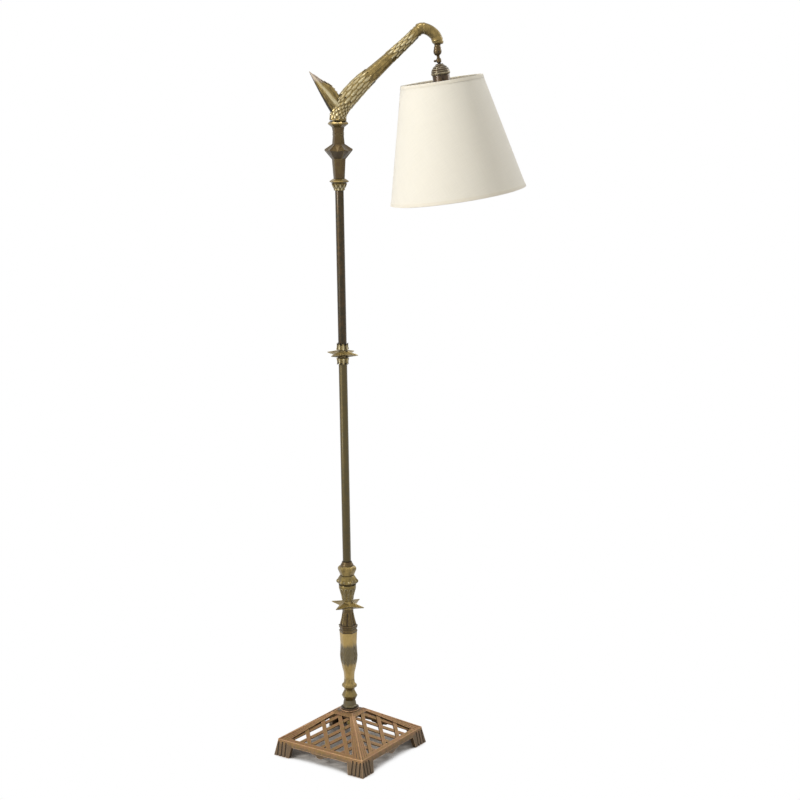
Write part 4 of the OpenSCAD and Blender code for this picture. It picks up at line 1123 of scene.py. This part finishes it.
class LAMP_OT_spur(bpy.types.Operator):
    """Rear spur: a pointed horn with hollowed sides and small scales stepping up its inner edge"""

    bl_idname = "lamp.spur"
    bl_label = "Rear spur"

    def execute(self, context):
        sizes = context.scene.lamp_sizes
        relief = sizes.leaf_relief / MM
        piece = SPUR.swept("cast_spur", step=2, around=22)
        lean = Vector((-math.sin(SPUR_LEAN), 0, math.cos(SPUR_LEAN)))
        edgewise = Vector((-lean.z, 0, lean.x))
        root, _, _ = SPUR.at(0)
        foot = COLUMN + root * MM

        def girth(along, across):
            """Half width of the spur as a share of its round section: thin at its edges, hollowed on
            both sides of a ridge, less so towards the tip"""
            share = along / SPUR.length
            hollow = 0.42 * hump(across, 0.48, 0.24) + 0.3 * hump(across, -0.5, 0.2)
            return (0.72 + 0.28 * share) * (1 - hollow * min(1, 1.6 * (1 - share)))

        def bulge(along):
            """How far the inner edge stands out, in mm: a step of scales halfway up"""
            return 4.5 * hump(along / SPUR.length, 0.5, 0.13)

        carved = piece.data.attributes.new("relief", "FLOAT", "POINT")
        for vertex in piece.data.vertices:
            from_foot = vertex.co - foot
            along = min(max(from_foot.dot(lean) / MM, 0), SPUR.length)
            r = max(SPUR.at(along)[2], 0.5)
            across = from_foot.dot(edgewise) / (r * MM)
            vertex.co.y = from_foot.y * girth(along, across)
            vertex.co -= edgewise * bulge(along) * max(0, -across) * MM
            # The relief attribute paints light and shade over wear and patina: a painted highlight down the
            # ridge, painted shade on the outer edge, and darker hollows as patina and painted shade
            ridge, painted_edge_shade = hump(across, -0.02, 0.3), hump(across, 0.95, 0.2)
            valley_patina_and_shade = hump(across, -0.55, 0.12) + hump(across, 0.5, 0.1)
            carved.data[vertex.index].value = ridge - 1.2 * painted_edge_shade - 0.5 * valley_patina_and_shade
        smooth(piece, 40)
        leaves = []
        scale = leaf_blank(12, 8, relief * 0.8, cells=(7, 6))
        first, pitch, count = 40, 8.5, 7
        for along in (first + pitch * k for k in range(count)):
            leaf = laid(scale, SPUR.leaf_place(along, math.pi))
            leaf.data.transform(Matrix.Translation(-edgewise * bulge(along) * MM))
            leaves.append(leaf)
        discard(scale)
        fitted(with_leaves(piece, leaves), "arm_spur", "spur_brass")
        return {"FINISHED"}


class LAMP_OT_gooseneck(bpy.types.Operator):
    """Smooth gooseneck that bends over from the arm's crest and ends in a ring"""

    bl_idname = "lamp.gooseneck"
    bl_label = "Gooseneck"

    def execute(self, context):
        rings = [(NECK_ROOT + 5, 1.5, 0.8), (NECK.length - 3, 3, 1.9), (NECK.length - 9, 1.3, 0.7)]
        piece = NECK.swept("cast_gooseneck", rings, step=1)
        smooth(piece)
        fitted(piece, "gooseneck")
        return {"FINISHED"}


class LAMP_OT_fittings(bpy.types.Operator):
    """Nozzle, swivel, stem, socket and shade fitter, with their turned edges broken"""

    bl_idname = "lamp.fittings"
    bl_label = "Swivel and socket"

    def execute(self, context):
        sizes = context.scene.lamp_sizes
        edge = sizes.edge_round * 0.6
        cap_steps = ((9.2, 28.6), (14.7, 32.6), (17.6, 36.3), (19.9, 41), (20, 46))    # radius and drop, in mm
        own_finish = dict(
            socket_cap="socket_brown", beaded_band="socket_brown", socket_shell="socket_brown",
            swivel_ball="dark_brass", stem_screw="dark_brass", trunnion_screws="blued_steel",
        )
        for node_name, name in (
            ("trunnion_screws", "swivel_screws"),
            ("nozzle_cup", "turned_nozzle"),
            ("swivel_housing", "turned_swivel"),
            ("swivel_ball", "turned_ball_and_stem"),
            ("stem_collar", "turned_stem_collar"),
            ("stem_screw", "knob_screw"),
            ("socket_cap", "spun_socket_cap"),
            ("beaded_band", "rolled_beaded_band"),
            ("socket_shell", "drawn_socket_shell"),
            ("switch_key", "moulded_turn_key"),
            ("fitter_ring", "pressed_fitter_ring"),
            ("fitter_nut", "knurled_fitter_nut"),
            ("shade_spider", "wire_shade_frame"),
            ("shade_foot_ring", "wire_foot_ring"),
            ("bulb_glass", "frosted_bulb"),
        ):
            piece = dressed(node_name, name, 0 if "wire" in name or "bulb" in name else edge)
            if node_name == "socket_cap":
                rings = [head_ring(*step) for step in cap_steps]
                joined(piece, [raised_lines("cap_rings", rings, sizes.line_radius, closed=True)])
                smooth(piece)
            fitted(piece, node_name, own_finish.get(node_name))
        return {"FINISHED"}


def head_ring(radius, drop):
    """Points round the head's own axis, in mm: radius, and drop from the pivot"""
    turns = [math.radians(6 * k) for k in range(60)]
    return [HEAD @ (Vector((radius * math.cos(a), radius * math.sin(a), -drop)) * MM) for a in turns]


def cone_band(name, top, bottom, outset, wall, node_name, finish):
    """A band of the shade's cone between two drops down its axis, in mm, with the flat cut as its UV map"""
    slope = (SHADE_FOOT_R - SHADE_TOP_R) / SHADE_HEIGHT
    upper = SHADE_TOP_R + (top - SHADE_TOP) * slope + outset
    lower = SHADE_TOP_R + (bottom - SHADE_TOP) * slope + outset
    alone()
    bpy.ops.mesh.primitive_cone_add(
        vertices=144, radius1=lower * MM, radius2=upper * MM, depth=(bottom - top) * MM,
        end_fill_type="NOTHING", location=(0, 0, -(top + bottom) / 2 * MM),
    )
    piece = bpy.context.object
    piece.name = name
    bpy.ops.object.transform_apply(location=True, rotation=True, scale=True)
    spread = SECTOR_ANGLE / (2 * math.pi)
    cut = piece.data.uv_layers.new(name="cut")
    for face in piece.data.polygons:
        middle = math.atan2(face.center.y, face.center.x)
        for loop in face.loop_indices:
            corner = piece.data.vertices[piece.data.loops[loop].vertex_index].co
            turn = math.atan2(corner.y, corner.x) - middle
            turn = (turn + math.pi) % (2 * math.pi) - math.pi
            from_tip = math.hypot(corner.x, corner.y) / SHADE_FOOT_R * SECTOR_OUTER
            angle = (middle + turn) * spread
            cut.data[loop].uv = (from_tip * math.cos(angle), from_tip * math.sin(angle))
    piece.data.transform(HEAD)
    apply_modifier(piece, "SOLIDIFY", thickness=wall * MM, offset=-1)
    smooth(piece)
    return fitted(piece, node_name, finish)


class LAMP_OT_shade(bpy.types.Operator):
    """Shade of slubbed ivory linen on a stiff liner, bound with a tape at its top and its foot"""

    bl_idname = "lamp.shade"
    bl_label = "Shade"

    def execute(self, context):
        foot = SHADE_TOP + SHADE_HEIGHT
        linen = cone_band("linen_shade", SHADE_TOP, foot, 0, SHADE_WALL, "shade_cone", "shade_fabric")
        turned_over = HEM_WALL + SHADE_WALL + RIM_WIRE
        hems = [
            cone_band(name, start, start + HEM_WIDTH, HEM_WALL, turned_over, node_name, "hem_tape")
            for name, start, node_name in (
                ("top_hem_tape", SHADE_TOP, "shade_top_hem"),
                ("foot_hem_tape", foot - HEM_WIDTH, "shade_foot_hem"),
            )
        ]
        return {"FINISHED"}


class LAMP_OT_stage(bpy.types.Operator):
    """Pale floor, white surroundings, soft lamps and the camera at the photograph's angle"""

    bl_idname = "lamp.stage"
    bl_label = "Stage"

    def execute(self, context):
        self.lay_floor()
        self.light_world(context.scene)
        self.hang_lamps()
        self.set_camera(context.scene)
        context.scene.view_settings.view_transform = "Standard"
        return {"FINISHED"}

    @staticmethod
    def background_seen(tree):
        """1 where the camera, a reflection or clear glass looks at the background itself"""
        path = node(tree, "ShaderNodeLightPath")
        rays = [path.outputs[name] for name in ("Is Camera Ray", "Is Glossy Ray", "Is Transmission Ray")]
        first = node(tree, "ShaderNodeMath", {0: rays[0], 1: rays[1]}, operation="MAXIMUM").outputs[0]
        return node(tree, "ShaderNodeMath", {0: first, 1: rays[2]}, operation="MAXIMUM").outputs[0]

    def lay_floor(self):
        alone()
        bpy.ops.mesh.primitive_plane_add(size=60, location=(0, 0, -0.2 * MM))
        floor = bpy.context.object
        floor.name = "floor"
        material, tree = blank_material("white_floor")
        # Where ambient occlusion finds the floor hemmed in by the lamp, this darker diffuse floor shows
        # through the white: a painted contact shadow, darkest inside the base, with the real shade of the
        # lamps on it
        painted_floor_shade = node(tree, "ShaderNodeBsdfDiffuse", {"Color": (0.5, 0.47, 0.43, 1)}).outputs[0]
        white = node(tree, "ShaderNodeEmission", {"Strength": 1.0}).outputs[0]
        reach = {"Distance": 130 * MM}    # how far off the lamp its shadow starts
        open_sky = node(tree, "ShaderNodeAmbientOcclusion", reach, samples=32).outputs["AO"]
        unshaded = node(tree, "ShaderNodeMapRange", {0: open_sky, 1: 0.42, 2: 0.74}, **EASED).outputs[0]
        seen = self.background_seen(tree)
        share = node(tree, "ShaderNodeMath", {0: seen, 1: unshaded}, operation="MULTIPLY").outputs[0]
        blend = node(tree, "ShaderNodeMixShader", {0: share, 1: painted_floor_shade, 2: white}).outputs[0]
        node(tree, "ShaderNodeOutputMaterial", {"Surface": blend})
        floor.data.materials.append(material)

    def light_world(self, scene):
        world = bpy.data.worlds.new("white_surroundings")
        world.use_nodes = True
        tree = world.node_tree
        tree.nodes.clear()
        soft = node(tree, "ShaderNodeBackground", {"Color": (1, 1, 1, 1), "Strength": 0.54}).outputs[0]
        white = node(tree, "ShaderNodeBackground", {"Color": (1, 1, 1, 1), "Strength": 1.0}).outputs[0]
        seen = self.background_seen(tree)
        blend = node(tree, "ShaderNodeMixShader", {0: seen, 1: soft, 2: white}).outputs[0]
        node(tree, "ShaderNodeOutputWorld", {"Surface": blend})
        scene.world = world

    @staticmethod
    def hang_lamps():
        for name, where, aim, size, power in (
            ("key_lamp", (-3.5, -1.4, 2.4), (0, 0, 1.0), 0.8, 66),
            ("top_lamp", (-0.5, -0.5, 4.2), (0, 0, 1.3), 0.9, 35),
            ("low_lamp", (-2.9, -1.3, 0.4), (0, 0, 0.05), 0.8, 14),
            ("back_lamp", (2.9, 1.2, 2.4), (0, 0, 1.4), 1.0, 20),
        ):
            bpy.ops.object.light_add(type="AREA", location=where)
            lamp = bpy.context.object
            lamp.name = name
            lamp.data.size = size
            lamp.data.energy = power
            lamp.rotation_euler = (Vector(aim) - Vector(where)).to_track_quat("-Z", "Y").to_euler()

    @staticmethod
    def set_camera(scene):
        ahead = Vector((
            math.sin(CAMERA_HEADING) * math.cos(CAMERA_PITCH),
            math.cos(CAMERA_HEADING) * math.cos(CAMERA_PITCH),
            math.sin(CAMERA_PITCH),
        ))
        level = ahead.cross(Vector((0, 0, 1))).normalized()
        upright = level.cross(ahead)
        right = level * math.cos(CAMERA_ROLL) + upright * math.sin(CAMERA_ROLL)
        up = upright * math.cos(CAMERA_ROLL) - level * math.sin(CAMERA_ROLL)
        bpy.ops.object.camera_add()
        camera = bpy.context.object
        camera.name = "photo_camera"
        turn = Matrix((right, up, -ahead)).transposed().to_4x4()
        camera.matrix_world = Matrix.Translation(COLUMN + CAMERA_FROM_COLUMN) @ turn
        camera.data.sensor_width = SENSOR
        camera.data.lens = SENSOR * FOCAL_PIXELS / PHOTO_WIDTH
        scene.camera = camera


class LAMP_PT_panel(bpy.types.Panel):
    """Lists the lamp's sizes, colours and pieces"""

    bl_idname = "LAMP_PT_panel"
    bl_label = "Bridge floor lamp"
    bl_space_type = "VIEW_3D"
    bl_region_type = "UI"
    bl_category = "Lamp"

    def draw(self, context):
        for settings in (context.scene.lamp_sizes, context.scene.lamp_colours):
            box = self.layout.box()
            for name in settings.bl_rna.properties.keys():
                if name not in ("rna_type", "name"):
                    box.prop(settings, name)
        for operator in OPERATORS:
            self.layout.operator(operator.bl_idname)


OPERATORS = (
    LAMP_OT_finishes,
    LAMP_OT_base,
    LAMP_OT_column_castings,
    LAMP_OT_baluster,
    LAMP_OT_ribbed_skirt,
    LAMP_OT_stars,
    LAMP_OT_vase,
    LAMP_OT_boss_ring,
    LAMP_OT_tubes,
    LAMP_OT_capital,
    LAMP_OT_nailhead_collar,
    LAMP_OT_arm,
    LAMP_OT_spur,
    LAMP_OT_gooseneck,
    LAMP_OT_fittings,
    LAMP_OT_shade,
    LAMP_OT_stage,
)
CLASSES = (LampSizes, LampColours, *OPERATORS, LAMP_PT_panel)


def register():
    for cls in CLASSES:
        bpy.utils.register_class(cls)
    bpy.types.Scene.lamp_sizes = bpy.props.PointerProperty(type=LampSizes)
    bpy.types.Scene.lamp_colours = bpy.props.PointerProperty(type=LampColours)


def unregister():
    del bpy.types.Scene.lamp_colours
    del bpy.types.Scene.lamp_sizes
    for cls in reversed(CLASSES):
        bpy.utils.unregister_class(cls)


def main():
    register()
    bpy.ops.lamp.finishes()
    bpy.ops.lamp.base()
    bpy.ops.lamp.column_castings()
    bpy.ops.lamp.baluster()
    bpy.ops.lamp.ribbed_skirt()
    bpy.ops.lamp.stars()
    bpy.ops.lamp.vase()
    bpy.ops.lamp.boss_ring()
    bpy.ops.lamp.tubes()
    bpy.ops.lamp.capital()
    bpy.ops.lamp.nailhead_collar()
    bpy.ops.lamp.arm()
    bpy.ops.lamp.spur()
    bpy.ops.lamp.gooseneck()
    bpy.ops.lamp.fittings()
    bpy.ops.lamp.shade()
    bpy.ops.lamp.stage()


if __name__ == "__main__":
    main()
